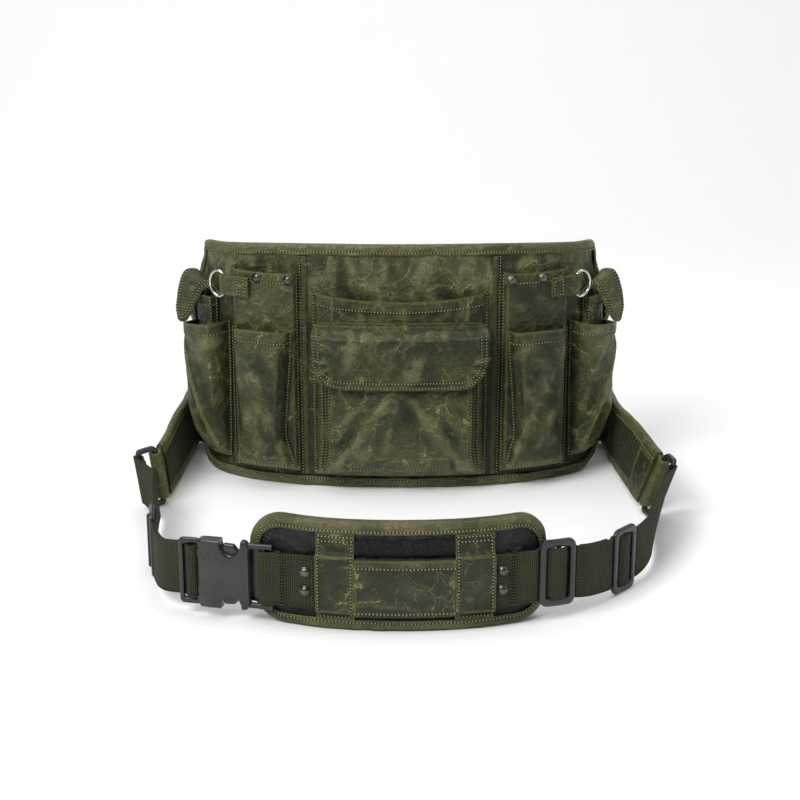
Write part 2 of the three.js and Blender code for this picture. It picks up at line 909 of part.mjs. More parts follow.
// A line that comes in along x to a bar at the origin, goes round it and ends in a tail beside
// itself
function eyeLine({ bar, thick, neck, tail, tailSide }) {
  const radius = bar + thick / 2;
  const layer = (thick + seam) / 2 + 0.1;
  const points = [[neck, -tailSide * layer]];
  for (const turn of steps(Math.PI * 0.38, Math.PI * 1.62, Math.PI / 7)) {
    points.push([radius * Math.cos(turn), -tailSide * radius * Math.sin(turn)]);
  }
  points.push([Math.min(neck, tail - 1), tailSide * layer], [tail, tailSide * layer]);
  return { points, layer };
}

// Ring tabs: a leather loop sewn over the tall pocket's outer edge, with a ring swinging in it
const tabRoot = 128;
const tabBar = 151;
const tabHigh = 17.5;
const tabMiddle = 181;

function ringTab(side) {
  const tail = tabBar - tabRoot;
  const bar = ringWire / 2 + 0.4;
  const { points, layer } = eyeLine({ bar, thick: tabWall, neck: bar + 8, tail, tailSide: 1 });
  const middle = seam + tallDeep + seam + tabWall / 2 + layer;
  const loop = [[tail, -layer], ...points];
  const line = loop.map((p) => besideBar({ along: side * tabBar, out: middle }, -side, 0, p));
  const flatLow = () => tabMiddle - tabHigh / 2;
  const flatHigh = () => tabMiddle + tabHigh / 2;
  addPiece("ring_tab_" + sideName(side), band(line, tabWall, flatLow, flatHigh, onPanel), "waxed");
  return middle;
}

// A ring of round wire shaped like a D, its straight side in the tab
function dRing(side, out) {
  const half = ringInside / 2 + ringWire / 2;
  const outline = [];
  for (const v of steps(-half, half, 12)) outline.push([0, v]);
  for (const turn of steps(Math.PI / 2, -Math.PI / 2, Math.PI / 9)) {
    outline.push([
      ringShoulder + (ringReach - ringShoulder) * Math.cos(turn),
      half * Math.sin(turn),
    ]);
  }
  const p = panelPlan.on(side * tabBar);
  const pivot = onPanel(side * tabBar, tabMiddle, out);
  const sections = outline.map(([along, up], k) => {
    const [a, b] = [outline.at(k - 1), outline[(k + 1) % outline.length]];
    const run = Math.hypot(b[0] - a[0], b[1] - a[1]);
    const [nu, nv] = [(b[1] - a[1]) / run, -(b[0] - a[0]) / run];
    return Array.from({ length: 6 }, (_, m) => {
      const turn = (m / 6) * 2 * Math.PI;
      const flat = (ringWire / 2) * Math.cos(turn);
      const off = (ringWire / 2) * Math.sin(turn);
      const reach = side * (along + nu * flat);
      return new THREE.Vector3(
        pivot.x + p.tx * reach + p.ty * off,
        pivot.y + p.ty * reach - p.tx * off,
        pivot.z + up + nv * flat,
      );
    });
  });
  addPiece("d_ring_" + sideName(side), ringOf(sections), "nickel");
}
for (const side of [-1, 1]) dRing(side, ringTab(side));

// Rivets with domed heads, each a short turned piece seated on a face
function rivet(name, position, outward) {
  const radius = rivetAcross / 2;
  const profile = [
    new THREE.Vector2(0, 0),
    new THREE.Vector2(radius, 0),
    new THREE.Vector2(radius, rivetHigh * 0.35),
    new THREE.Vector2(radius * 0.62, rivetHigh * 0.86),
    new THREE.Vector2(0, rivetHigh),
  ];
  const mesh = addPiece(name, new THREE.LatheGeometry(profile, 8), "rivet");
  mesh.position.copy(position);
  mesh.quaternion.setFromUnitVectors(new THREE.Vector3(0, 1, 0), outward);
}

// Rivets at the mouths of the tall pockets
const rivetFromMouth = 6;
const rivetRows = [
  { name: "inner", along: 94 },
  { name: "outer", along: 121 },
];
for (const side of [-1, 1]) {
  for (const row of rivetRows) {
    const along = side * row.along;
    const p = panelPlan.on(along);
    const face = tallPockets[sideName(side)].mouthFace(row.along);
    rivet(
      "pocket_rivet_" + row.name + "_" + sideName(side),
      onPanel(along, tallMouth - rivetFromMouth, face + seam),
      new THREE.Vector3(p.ty, -p.tx, 0),
    );
  }
}

// Wings: a soft leather arm from each end of the panel, folded round the bar of a strap ring
const wingCorner = 8;
const wingBindingEnd = 3;
const wingTuck = 2.5;
const ringBars = 17;
const ringTilt = { left: 0.8, right: 0.3 };
const barRadius = Math.hypot(barWide, barThick) / 2 + seam;
const webRise = strapStations[0].rise;

// Heights of the wing's soft core, from its root to its end
const wingRows = [
  { at: 0, low: 0.25, high: 0.965 },
  { at: 0.22, low: 0.05, high: 0.965 },
  { at: 0.6, low: 0.05, high: 0.9 },
  { at: 0.9, low: 0.065, high: 0.755 },
  { at: 1, low: 0.1, high: 0.755 },
];

const wingNeck = barRadius + wingThick + 4;
const wingEye = eyeLine({
  bar: barRadius,
  thick: wingThick,
  neck: wingNeck,
  tail: wingNeck + 1.5,
  tailSide: 1,
});

// Which way the strap runs from the wing's end towards the back rest, and how long the wing is
function wingOf(side) {
  const name = sideName(side);
  const end = strap.marks["wing_end_" + name];
  const root = side < 0 ? strap.plan.start : strap.plan.end;
  const onward = side < 0 ? 1 : -1;
  const long = Math.abs(end - root);
  const height = (key) => (along) => {
    const run = Math.abs(along - root);
    const corner = wingCorner - Math.min(run, wingCorner);
    const cut = wingCorner - Math.sqrt(wingCorner ** 2 - corner ** 2);
    const inwards = key === "low" ? 1 : -1;
    return wingRootTall * column(wingRows, key, run / long) + inwards * cut;
  };
  const tilt = ringTilt[name];
  const { layer } = wingEye;
  const rear = { along: end, out: layer };
  const front = {
    along: end + onward * ringBars * Math.cos(tilt),
    out: layer + ringBars * Math.sin(tilt),
  };
  return { name, end, root, onward, long, tilt, rear, front, low: height("low"), high: height("high") };
}

// Stations along a wing, closer together round its tight bend and shared by all its pieces
const wingBendRun = 60;
function wingStations(wing, from, to) {
  const shared = [
    ...steps(0, wingLap, wingLap / 3),
    ...steps(wingLap, wingBendRun, 3.8).slice(1),
    ...steps(wingBendRun, wing.long, 14).slice(1),
  ];
  const between = shared.filter((run) => run > from + 1 && run < to - 1);
  return [from, ...between, to].map((run) => wing.root + wing.onward * run);
}

function wingCore(wing) {
  const body = wingStations(wing, wingTuck, wing.long - wingNeck - 6).map((along) => [along, 0]);
  const fold = wingEye.points.map((p) => besideBar(wing.rear, -wing.onward, 0, p));
  const core = band([...body, ...fold], wingThick, wing.low, wing.high, onLoop);
  addPiece("wing_" + wing.name, core, "waxed");
}

// The folded edging of a wing: along its lower edge to the root and back along its upper edge
function wingBinding(wing) {
  const grow = channelSlack + bindingWall;
  const bodyEnd = wing.long - wingNeck - wingBindingEnd;
  const runs = wingStations(wing, wingCorner, bodyEnd);
  const outline = [];
  for (const along of [...runs].reverse()) outline.push([along, wing.low(along) - grow]);
  const root = (low, up) => {
    const arc = [];
    for (const turn of [0.3, 0.62, 0.9]) {
      const back = wingCorner + (wingCorner + grow) * -Math.sin((turn * Math.PI) / 2);
      const along = wing.root + wing.onward * back;
      const edge = low(wing.root + wing.onward * wingCorner);
      arc.push([along, edge + up * (wingCorner - (wingCorner + grow) * Math.cos((turn * Math.PI) / 2))]);
    }
    return arc;
  };
  outline.push(...root(wing.low, 1), ...root(wing.high, -1).reverse());
  for (const along of runs) outline.push([along, wing.high(along) + grow]);
  const half = wingThick / 2;
  const [face, skin] = [half + foldSlack, half + foldSlack + bindingWall];
  const section = [
    { deep: 0, out: skin },
    { deep: bindingWide, out: skin },
    { deep: bindingWide, out: face },
    { deep: bindingWall, out: face },
    { deep: bindingWall, out: -face },
    { deep: bindingWide, out: -face },
    { deep: bindingWide, out: -skin },
    { deep: 0, out: -skin },
  ];
  const sections = outline.map(([u, v], k) => {
    const [a, b] = [outline[Math.max(k - 1, 0)], outline[Math.min(k + 1, outline.length - 1)]];
    const run = Math.hypot(b[0] - a[0], b[1] - a[1]);
    const turned = wing.onward * -1;
    let [nu, nv] = [(turned * (b[1] - a[1])) / run, (turned * (a[0] - b[0])) / run];
    // Past the corner the sections stand upright, like the core's own stations
    if (Math.abs(u - wing.root) >= wingCorner - 1) [nu, nv] = [0, Math.sign(nv)];
    return section.map(({ deep, out }) => onLoop(u - nu * deep, v - nv * deep, out));
  });
  addPiece("wing_binding_" + wing.name, openSweep(sections, section), "piping");
}

// Sections joined in a row, with both ends closed
function openSweep(sections, section) {
  const sides = section.length;
  const points = sections.flat();
  const index = [];
  for (let i = 0; i + 1 < sections.length; i += 1) {
    for (let j = 0; j < sides; j += 1) {
      const [a, b] = [i * sides + j, i * sides + ((j + 1) % sides)];
      index.push(a, b, b + sides, a, b + sides, a + sides);
    }
  }
  const flat = section.map(({ deep, out }) => new THREE.Vector2(deep, out));
  const last = (sections.length - 1) * sides;
  const clockwise = THREE.ShapeUtils.isClockWise(flat);
  for (const [a, b, c] of THREE.ShapeUtils.triangulateShape(flat, [])) {
    if (clockwise) index.push(a, b, c, last + a, last + c, last + b);
    else index.push(a, c, b, last + a, last + b, last + c);
  }
  return facingOut(points, index);
}

// A sheet on the wing's inner face, between the edgings
function wingSheet(name, look, wing, from, to, thick) {
  const inner = wingThick / 2 + seam;
  const line = wingStations(wing, from, to);
  const margin = bindingWide - channelSlack - bindingWall + seam;
  const face = (out) =>
    line.map((along) => {
      const [low, high] = [wing.low(along) + margin, wing.high(along) - margin];
      return [onLoop(along, low, out), onLoop(along, high, out)];
    });
  addPiece(name, wallBetween(face(-inner), face(-inner - thick)), look);
}

// A plate with windows, drawn flat: x along, y up, and mapped onto the loop beside a bar
function plate(outline, windows, thick, place) {
  const shape = new THREE.Shape(outline.map(([x, y]) => new THREE.Vector2(x, y)));
  for (const hole of windows) {
    shape.holes.push(new THREE.Path(hole.map(([x, y]) => new THREE.Vector2(x, y))));
  }
  const geometry = new THREE.ExtrudeGeometry(shape, { depth: thick, bevelEnabled: false });
  geometry.translate(0, 0, -thick / 2);
  const position = geometry.getAttribute("position");
  for (let k = 0; k < position.count; k += 1) {
    const p = place(position.getX(k), position.getY(k), position.getZ(k));
    position.setXYZ(k, p.x, p.y, p.z);
  }
  return geometry;
}

function roundedBox(from, to, low, high, corner) {
  const points = [];
  const corners = [
    [to - corner, high - corner, 0],
    [from + corner, high - corner, 1],
    [from + corner, low + corner, 2],
    [to - corner, low + corner, 3],
  ];
  for (const [x, y, quarter] of corners) {
    for (const turn of [0, 0.5, 1]) {
      const angle = ((quarter + turn) * Math.PI) / 2;
      points.push([x + corner * Math.cos(angle), y + corner * Math.sin(angle)]);
    }
  }
  return points;
}

const railTall = (hardwareTall - webWide) / 2;

// A window that the webbing passes through
function webWindow(from, to) {
  return roundedBox(from, to, -windowSlack, webWide + windowSlack, 1);
}

function strapRing(wing) {
  const half = barWide / 2;
  const window = webWindow(half, ringBars - half);
  const outline = roundedBox(-half, ringBars + half, -railTall, webWide + railTall, 4);
  const place = (x, y, z) => {
    const [along, out] = besideBar(wing.rear, wing.onward, wing.tilt, [x, z]);
    return onLoop(along, webRise + y, out);
  };
  const geometry = plate(outline, [window], barThick, place);
  addPiece("strap_ring_" + wing.name, outwards(geometry), "plastic");
}

// Turns a closed geometry's faces outwards after it was mapped
function outwards(geometry) {
  const position = geometry.getAttribute("position");
  const points = Array.from({ length: position.count }, (_, k) =>
    new THREE.Vector3().fromBufferAttribute(position, k),
  );
  const index = geometry.index ? [...geometry.index.array] : points.map((_, k) => k);
  return facingOut(points, index);
}

const wings = [-1, 1].map(wingOf);
for (const wing of wings) {
  wingCore(wing);
  wingBinding(wing);
  strapRing(wing);
}
const meshFrom = 58;
const patchLong = 32;
const sheetEnd = barRadius + wingThick + 8;
wingSheet("wing_mesh_left", "mesh", wings[0], meshFrom, wings[0].long - sheetEnd, meshThick);
wingSheet(
  "wing_mesh_right",
  "mesh",
  wings[1],
  meshFrom,
  wings[1].long - sheetEnd - patchLong - seam,
  meshThick,
);
wingSheet(
  "wing_patch_right",
  "waxed",
  wings[1],
  wings[1].long - sheetEnd - patchLong,
  wings[1].long - sheetEnd,
  tabWall,
);

// The strap: flat webbing that loops through the rings, sliders and buckle

// Going over a slider's middle bar and behind its two outer bars
const weaveDeep = barThick / 2 + seam + webThick / 2 + 0.4;
const weaveRows = [
  { run: -0.62, out: 0 },
  { run: -0.5, out: -1 },
  { run: -0.34, out: -1 },
  { run: -0.275, out: -0.62 },
  { run: -0.165, out: 0.62 },
  { run: -0.1, out: 1 },
  { run: 0.1, out: 1 },
  { run: 0.165, out: 0.62 },
  { run: 0.275, out: -0.62 },
  { run: 0.34, out: -1 },
  { run: 0.5, out: -1 },
  { run: 0.62, out: 0 },
];
function weave(middle) {
  return weaveRows.map((row) => [middle + sliderLong * row.run, weaveDeep * row.out]);
}

// The strap's own line between two places
function plainRun(from, to) {
  return steps(from, to, 12).map((along) => [along, 0]);
}

const webLow = (along) => riseAt(along);
const webHigh = (along) => riseAt(along) + webWide;
const eyeNeck = barRadius + webThick + 5;
const eyeTail = eyeNeck + 3;
const webEye = eyeLine({
  bar: barRadius,
  thick: webThick,
  neck: eyeNeck,
  tail: eyeTail,
  tailSide: -1,
});

function slider(name, middle) {
  const half = sliderLong / 2;
  const bar = barWide / 2;
  const windows = [-1, 1].map((side) => {
    const [a, b] = [side * bar, side * (half - barWide)];
    return webWindow(Math.min(a, b), Math.max(a, b));
  });
  const outline = roundedBox(-half, half, -railTall, webWide + railTall, 5);
  const slope = (riseAt(middle + half) - riseAt(middle - half)) / sliderLong;
  const place = (x, y, z) => onLoop(middle + x, riseAt(middle) + slope * x + y, z);
  addPiece(name, outwards(plate(outline, windows, barThick, place)), "plastic");
}

const buckleLong = 66;
const femaleBar = strap.marks.female + 6;
const maleBar = femaleBar - buckleLong;
const sliderLeft = strap.marks.slider_left;
const sliderFront = strap.marks.slider_front;
const sliderRear = strap.marks.slider_rear;
slider("slider_left", sliderLeft);
slider("slider_front_right", sliderFront);
slider("slider_rear_right", sliderRear);

// The end of the strap that goes round a strap ring's outer bar
function ringEnd(wing) {
  const reach = 30;
  const angle = Math.atan2(-wing.front.out, reach);
  const line = webEye.points.map((p) => besideBar(wing.front, wing.onward, angle, p)).reverse();
  return { line, joins: wing.front.along + wing.onward * reach };
}

// The end that goes round a buckle's bar, its tail on the inside
function buckleEnd(bar, onward) {
  return webEye.points.map((p) => besideBar({ along: bar, out: -webEye.layer }, onward, 0, p));
}

function strapLeft() {
  const start = ringEnd(wings[0]);
  const reach = sliderLong * 0.62;
  const line = [
    ...start.line,
    ...plainRun(start.joins, sliderLeft - reach - 4),
    ...weave(sliderLeft),
    ...plainRun(sliderLeft + reach + 4, maleBar - eyeNeck - 6),
    ...buckleEnd(maleBar, -1),
  ];
  addPiece("webbing_left", band(line, webThick, webLow, webHigh, onLoop), "webbing");
}

function strapRight() {
  const end = ringEnd(wings[1]);
  const reach = sliderLong * 0.62;
  const line = [
    ...buckleEnd(femaleBar, 1).reverse(),
    ...plainRun(femaleBar + eyeNeck + 6, sliderFront - reach - 3),
    ...weave(sliderFront),
    ...plainRun(sliderFront + reach + 3, sliderRear - reach - 3),
    ...weave(sliderRear),
    ...plainRun(sliderRear + reach + 3, end.joins),
    ...[...end.line].reverse(),
  ];
  addPiece("webbing_front", band(line, webThick, webLow, webHigh, onLoop), "webbing");
}
strapLeft();
strapRight();

// The strap's free ends, folded and laid against its inner side beside the sliders
function freeEnd(name, from, to) {
  const out = -(webThick + seam + 0.1);
  const line = steps(from, to, 9).map((along) => [along, out]);
  addPiece(name, band(line, webThick, webLow, webHigh, onLoop), "webbing");
}
const behindSlider = sliderLong * 0.62 + 4;
freeEnd("webbing_end_left", sliderLeft + behindSlider, maleBar - eyeTail - 2);
freeEnd("webbing_end_right", sliderFront + behindSlider, sliderRear - behindSlider);

// The side release buckle, fastened
const buckleThick = 10;
const buckleWall = 2.6;
const buckleTail = 9;
const bodyFrom = 15;
const bodyTo = buckleLong - buckleTail - 2.5;
const crossbar = 5;
const clipNotch = 11;
const clipNotchLong = 17;
const clipNotchFrom = bodyTo - 14;
// One springy arm of the male part, drawn from the crossbar: run from it, and up from the middle
const armRows = [
  { run: 0, up: 12 },
  { run: bodyTo - bodyFrom - 5, up: 13 },
  { run: bodyTo - bodyFrom - 4, up: 17 },
  { run: bodyTo - bodyFrom - 11, up: 23.5 },
  { run: bodyTo - bodyFrom - 18, up: 23.5 },
  { run: bodyTo - bodyFrom - 21, up: 19.5 },
  { run: 0, up: 19 },
];

// The buckle is stiff, so it lies straight between its two bars
const maleEnd = onLoop(maleBar, riseAt(maleBar), -webEye.layer);
const femaleEnd = onLoop(femaleBar, riseAt(femaleBar), -webEye.layer);

function onBuckle(x, y, z) {
  const p = maleEnd.clone().lerp(femaleEnd, x / buckleLong);
  const [run, back] = [femaleEnd.x - maleEnd.x, femaleEnd.y - maleEnd.y];
  const long = Math.hypot(run, back);
  return new THREE.Vector3(p.x + (back / long) * z, p.y - (run / long) * z, p.z + y);
}

function buckleMale() {
  const half = barWide / 2;
  const middle = webWide / 2;
  const face = bodyFrom - 1;
  const frame = roundedBox(-half, face, -railTall, webWide + railTall, 4);
  const arm = (side) => armRows.map(({ run, up }) => [face + run, middle + side * up]);
  const outline = [
    ...frame.slice(3, 9),
    [face, -railTall],
    ...arm(-1).reverse(),
    ...arm(1),
    [face, webWide + railTall],
  ];
  const window = webWindow(half, bodyFrom - crossbar);
  const geometry = plate(outline, [window], barThick, onBuckle);
  addPiece("buckle_male", outwards(geometry), "plastic");
}

function toSolid(geometry) {
  const position = geometry.getAttribute("position");
  return new wasm.Manifold(
    new wasm.Mesh({
      numProp: 3,
      vertProperties: new Float32Array(position.array),
      triVerts: new Uint32Array(geometry.index.array),
    }),
  );
}

function merged(geometry) {
  const position = geometry.getAttribute("position");
  const seen = new Map();
  const points = [];
  const index = [];
  for (let k = 0; k < position.count; k += 1) {
    const p = new THREE.Vector3().fromBufferAttribute(position, k);
    const key = [p.x, p.y, p.z].map((value) => value.toFixed(3)).join(" ");
    if (!seen.has(key)) {
      seen.set(key, points.length);
      points.push(p);
    }
    index.push(seen.get(key));
  }
  return facingOut(points, index);
}

function fromSolid(solid) {
  const mesh = solid.getMesh();
  const geometry = new THREE.BufferGeometry();
  geometry.setAttribute("position", new THREE.BufferAttribute(mesh.vertProperties, 3));
  geometry.setIndex(new THREE.BufferAttribute(mesh.triVerts, 1));
  geometry.computeVertexNormals();
  return geometry;
}

function buckleFemale() {
  const middle = webWide / 2;
  const half = hardwareTall / 2 + 1;
  const notch = (up) => {
    const points = [];
    for (const turn of steps(0, Math.PI, Math.PI / 6)) {
      points.push([
        clipNotchFrom - (clipNotchLong / 2) * Math.cos(turn),
        middle + up * (half - clipNotch * Math.sin(turn)),
      ]);
    }
    return points;
  };
  const top = notch(1).reverse();
  const bottom = notch(-1);
  const bodyOutline = [
    [bodyFrom, middle - half],
    ...bottom,
    [bodyTo - 2, middle - half],
    [bodyTo, middle - half + 3],
    [bodyTo, middle + half - 3],
    [bodyTo - 2, middle + half],
    ...top,
    [bodyFrom, middle + half],
  ];
  const tailFrom = bodyTo - 1;
  const tailEnd = buckleLong + barWide / 2;
  const tailOutline = roundedBox(tailFrom, tailEnd, 1 - railTall, webWide + railTall - 1, 3);
  const window = webWindow(bodyTo + 0.5, buckleLong - barWide / 2);
  const body = merged(plate(bodyOutline, [], buckleThick, onBuckle));
  const tail = merged(plate(tailOutline, [window], barThick, onBuckle));
  const hollowTall = armRows[3].up + 0.7;
  const hollow = merged(
    plate(
      [
        [bodyFrom - 5, middle - hollowTall],
        [bodyTo - buckleWall, middle - hollowTall],
        [bodyTo - buckleWall, middle + hollowTall],
        [bodyFrom - 5, middle + hollowTall],
      ],
      [],
      barThick + 3 * seam,
      onBuckle,
    ),
  );
  const solid = toSolid(body).add(toSolid(tail)).subtract(toSolid(hollow));
  addPiece("buckle_female", fromSolid(solid), "plastic");
}
buckleMale();
buckleFemale();

// The back rest: a bound pad behind the strap
const padStep = 20;
const padShape = {
  half: padHalf,
  tall: padTall,
  lowCorner: padCorner,
  topCorner: padCorner,
  dip: 0,
};
const padFace = -(webThick / 2 + bindingWall + foldSlack + seam);

// The pad bends away from the strap towards its ends
const padDrop = (along) => padEndDrop * Math.min(1.2, Math.abs(along) / padHalf) ** 4;

function onPad(along, up, out) {
  const p = strap.plan.on(along);
  const w = out - padDrop(along);
  return new THREE.Vector3(p.x + p.ty * w, p.y - p.tx * w, up);
}
addPiece("back_rest", boundSlab(padShape, padStep, padFace - padThick, padFace, onPad), "lining");
addPiece("back_rest_binding", edging(padShape, padStep, padFace - padThick, padFace, onPad), "piping");

// What is sewn on its front: a dark strip, two tabs that hold the strap and a sleeve between them
const feltTall = 13;
const feltLow = 61;
const leftTabFrom = -63;
const leftTabTo = -34;
const rightTabFrom = 41;
const rightTabTo = 71;
const tabEnds = bindingWide + seam;
const sleeveLow = 12;
const sleeveHigh = 59.5;

function strapCover(name, from, to, low, high) {
  const webFrom = riseAt(0);
  const rows = [
    { up: low, over: 0 },
    { up: Math.max(low + 1, webFrom - 3), over: 0 },
    { up: webFrom - 0.8, over: 1 },
    { up: webFrom + webWide + 0.8, over: 1 },
  ];
  if (high > webFrom + webWide + 4) {
    rows.push({ up: webFrom + webWide + 3, over: 0 }, { up: high, over: 0 });
  }
  const across = steps(from, to, 10);
  const outAt = (u, over) => (over ? webThick / 2 + seam + padDrop(u) : padFace + seam);
  const face = (wall) =>
    rows.map((row) => across.map((u) => onPad(u, row.up, outAt(u, row.over) + wall)));
  addPiece(name, wallBetween(face(tabWall), face(0)), "waxed");
}
strapCover("rest_tab_left", leftTabFrom, leftTabTo, tabEnds, padTall - tabEnds);
strapCover("rest_tab_right", rightTabFrom, rightTabTo, tabEnds, padTall - tabEnds);
strapCover("rest_sleeve", leftTabTo + seam, rightTabFrom - seam, sleeveLow, sleeveHigh);
strip(
  "rest_felt",
  "felt",
  {
    from: leftTabTo + seam,
    to: rightTabFrom - seam,
    low: feltLow,
    high: feltLow + feltTall,
    outFrom: padFace + seam,
    outTo: padFace + seam + 1,
  },
  onPad,
);

// Two rivets each side fix the strap to the rest
const restRivets = [
  { name: "left", along: -70.8 },
  { name: "right", along: 77 },
];
for (const row of restRivets) {
  const p = strap.plan.on(row.along);
  for (const [level, share] of [["lower", 0.34], ["upper", 0.695]]) {
    const seat = onLoop(row.along, riseAt(row.along) + webWide * share, webThick / 2 + seam);
    const outward = new THREE.Vector3(p.ty, -p.tx, 0);
    rivet("rest_rivet_" + level + "_" + row.name, seat, outward);
  }
}

// The belt's origin is the middle of its box, on the floor
const box = new THREE.Box3().setFromObject(belt, true);
const centre = box.getCenter(new THREE.Vector3());
for (const piece of belt.children) {
  piece.position.sub(new THREE.Vector3(centre.x, centre.y, box.min.z));
}

export default belt;
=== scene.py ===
# %% [markdown]
# # A gardening tool belt
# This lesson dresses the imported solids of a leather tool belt: a curved panel of pockets, two soft
# wings, a strap with its hardware, and a padded rest. Every piece is made where its solid already
# lies, so the lesson is about cloth, leather and moulded parts, and not about placing things.

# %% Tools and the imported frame
import math

import bmesh
import bpy
import numpy as np
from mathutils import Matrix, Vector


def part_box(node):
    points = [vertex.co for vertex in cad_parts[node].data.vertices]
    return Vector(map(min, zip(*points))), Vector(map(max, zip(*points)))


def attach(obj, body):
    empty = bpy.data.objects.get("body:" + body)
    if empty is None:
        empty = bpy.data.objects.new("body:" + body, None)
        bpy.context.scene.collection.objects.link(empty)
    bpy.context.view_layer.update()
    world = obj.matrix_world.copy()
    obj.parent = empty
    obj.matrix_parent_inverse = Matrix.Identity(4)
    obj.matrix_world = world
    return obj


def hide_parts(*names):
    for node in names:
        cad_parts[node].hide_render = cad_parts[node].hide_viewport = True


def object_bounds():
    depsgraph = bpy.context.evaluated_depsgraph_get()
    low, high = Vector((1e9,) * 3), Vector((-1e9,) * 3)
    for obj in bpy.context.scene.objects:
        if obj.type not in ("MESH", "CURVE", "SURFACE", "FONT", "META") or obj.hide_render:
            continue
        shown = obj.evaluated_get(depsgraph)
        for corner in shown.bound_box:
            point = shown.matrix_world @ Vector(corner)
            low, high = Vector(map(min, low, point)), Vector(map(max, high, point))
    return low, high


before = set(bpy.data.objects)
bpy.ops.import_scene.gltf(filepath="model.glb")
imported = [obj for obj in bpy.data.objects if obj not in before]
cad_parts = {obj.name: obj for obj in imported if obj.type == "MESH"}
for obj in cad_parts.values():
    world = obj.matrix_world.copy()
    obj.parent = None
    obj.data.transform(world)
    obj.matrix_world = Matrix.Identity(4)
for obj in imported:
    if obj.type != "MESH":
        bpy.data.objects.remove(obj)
cad_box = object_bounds()

# %% [markdown]
# ## The camera
# A picture of the belt is taken from a little above, straight from the front. The camera comes
# first because every later choice, such as how fine a stitch has to be, is judged through it.

# %% The shift from the maker's frame to the belt's own
MM = 0.001
FOLD_SLACK = 0.6
BINDING_WALL = 1.3
binding_low, binding_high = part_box("panel_binding")
shift = np.array(
    [
        (binding_low[0] + binding_high[0]) / 2,
        binding_low[1] + (FOLD_SLACK + BINDING_WALL) * MM,
        binding_low[2],
    ]
)
print("shift in mm:", np.round(shift / MM, 2))

# %% Camera
FOCAL_PIXELS, PICTURE_PIXELS = 1925, 800
CAMERA_AT, CAMERA_TILT = (0, -1575.2, 647.2), 19.74


def linked(name, data):
    """A new object with that data, in the scene."""
    made = bpy.data.objects.new(name, data)
    bpy.context.scene.collection.objects.link(made)
    return made


camera_data = bpy.data.cameras.new("studio_camera")
camera_data.sensor_width = 36
camera_data.lens = camera_data.sensor_width * FOCAL_PIXELS / PICTURE_PIXELS
camera_data.clip_end = 50
camera = linked("studio_camera", camera_data)
camera.location = shift + np.array(CAMERA_AT) * MM
camera.rotation_euler = (math.radians(90 - CAMERA_TILT), 0, 0)
bpy.context.scene.camera = camera
print("lens:", round(camera_data.lens, 1), "mm")

# %% [markdown]
# ## Numbers that cloth needs
# Worn leather is never straight, so its shape is a sum of small rules: a soft step, a table read
# smoothly, irregular waves and single folds. Sculpting by hand would also give folds, but a rule
# can be read, changed and run again.

# %% Small helpers for numbers
def as_arrays(*values):
    """The values as arrays of numbers that all have one shape."""
    return np.broadcast_arrays(*(np.asarray(value, float) for value in values))


def unit(vectors):
    """The same directions with length 1."""
    return vectors / np.maximum(np.linalg.norm(vectors, axis=-1, keepdims=True), 1e-12)


def square_to(ahead):
    """Directions of length 1, a quarter turn to the right of the given ones in a plane."""
    ahead = unit(ahead)
    return np.stack([ahead[:, 1], -ahead[:, 0]], axis=1)


def ring_steps(walk):
    """The direction onwards at each point of a closed walk."""
    return np.roll(walk, -1, axis=0) - np.roll(walk, 1, axis=0)


def smooth_step(value, low, high):
    share = np.clip((np.asarray(value, float) - low) / (high - low), 0, 1)
    return share * share * (3 - 2 * share)


# %% Tables that are read smoothly
def table(columns, *rows):
    """A table whose rows have named columns, the first of which is "at"."""
    return [dict(zip(columns.split(), row)) for row in rows]


def table_column(rows, name, at):
    """A smooth value from a table whose rows have an "at" and the named column."""
    at = np.asarray(at, float)
    marks = np.array([row["at"] for row in rows])
    values = np.array([row[name] for row in rows])
    k = np.clip(np.searchsorted(marks, at, side="left"), 1, len(rows) - 1)
    share = np.clip((at - marks[k - 1]) / (marks[k] - marks[k - 1]), 0, 1)
    return values[k - 1] + (values[k] - values[k - 1]) * share * share * (3 - 2 * share)


def blurred(values, spread):
    """A row of numbers with its corners rounded over that many samples."""
    if spread < 1:
        return values
    reach = int(3 * spread)
    kernel = np.exp(-0.5 * (np.arange(-reach, reach + 1) / spread) ** 2)
    kernel /= kernel.sum()
    return np.convolve(np.pad(values, reach, mode="edge"), kernel, mode="valid")


# %% Waves and folds
def ripples(x, y, seed, longest, shortest, count=7):
    """Soft irregular waves of height about 1, with wavelengths in the given range."""
    random = np.random.default_rng(seed)
    total = np.zeros(np.broadcast(x, y).shape)
    for _ in range(count):
        angle = random.uniform(0, math.tau)
        wavelength = random.uniform(shortest, longest)
        phase = random.uniform(0, math.tau)
        run = x * math.cos(angle) + y * math.sin(angle)
        total += np.sin(run * math.tau / wavelength + phase)
    return total / math.sqrt(count)


def fold(x, y, start, end, wide, high, taper=0.25):
    """A straight soft ridge, or a valley if high is below zero, that fades at both ends."""
    run_x, run_y = end[0] - start[0], end[1] - start[1]
    long = math.hypot(run_x, run_y)
    share = ((x - start[0]) * run_x + (y - start[1]) * run_y) / long**2
    away = ((x - start[0]) * run_y - (y - start[1]) * run_x) / long
    ends = smooth_step(share, -taper, taper) * (1 - smooth_step(share, 1 - taper, 1 + taper))
    return high * ends * np.exp(-((away / wide) ** 2))


def add_folds(relief, x, y, *rows):
    """A relief with straight folds added; a row holds start, end, wide and high."""
    return sum((fold(x, y, *row) for row in rows), relief)


print("one fold at its middle:", fold(0, 5, (0, 0), (0, 10), 2, 1.5), "mm high")

# %% [markdown]
# ## Meshes from grids
# Most pieces here are sheets: a grid of points for the outer face, one for the inner face, and a
# rim. Writing that once keeps each later piece to its shape alone. Strips, edgings and wires are
# swept sections, so they get a second helper.

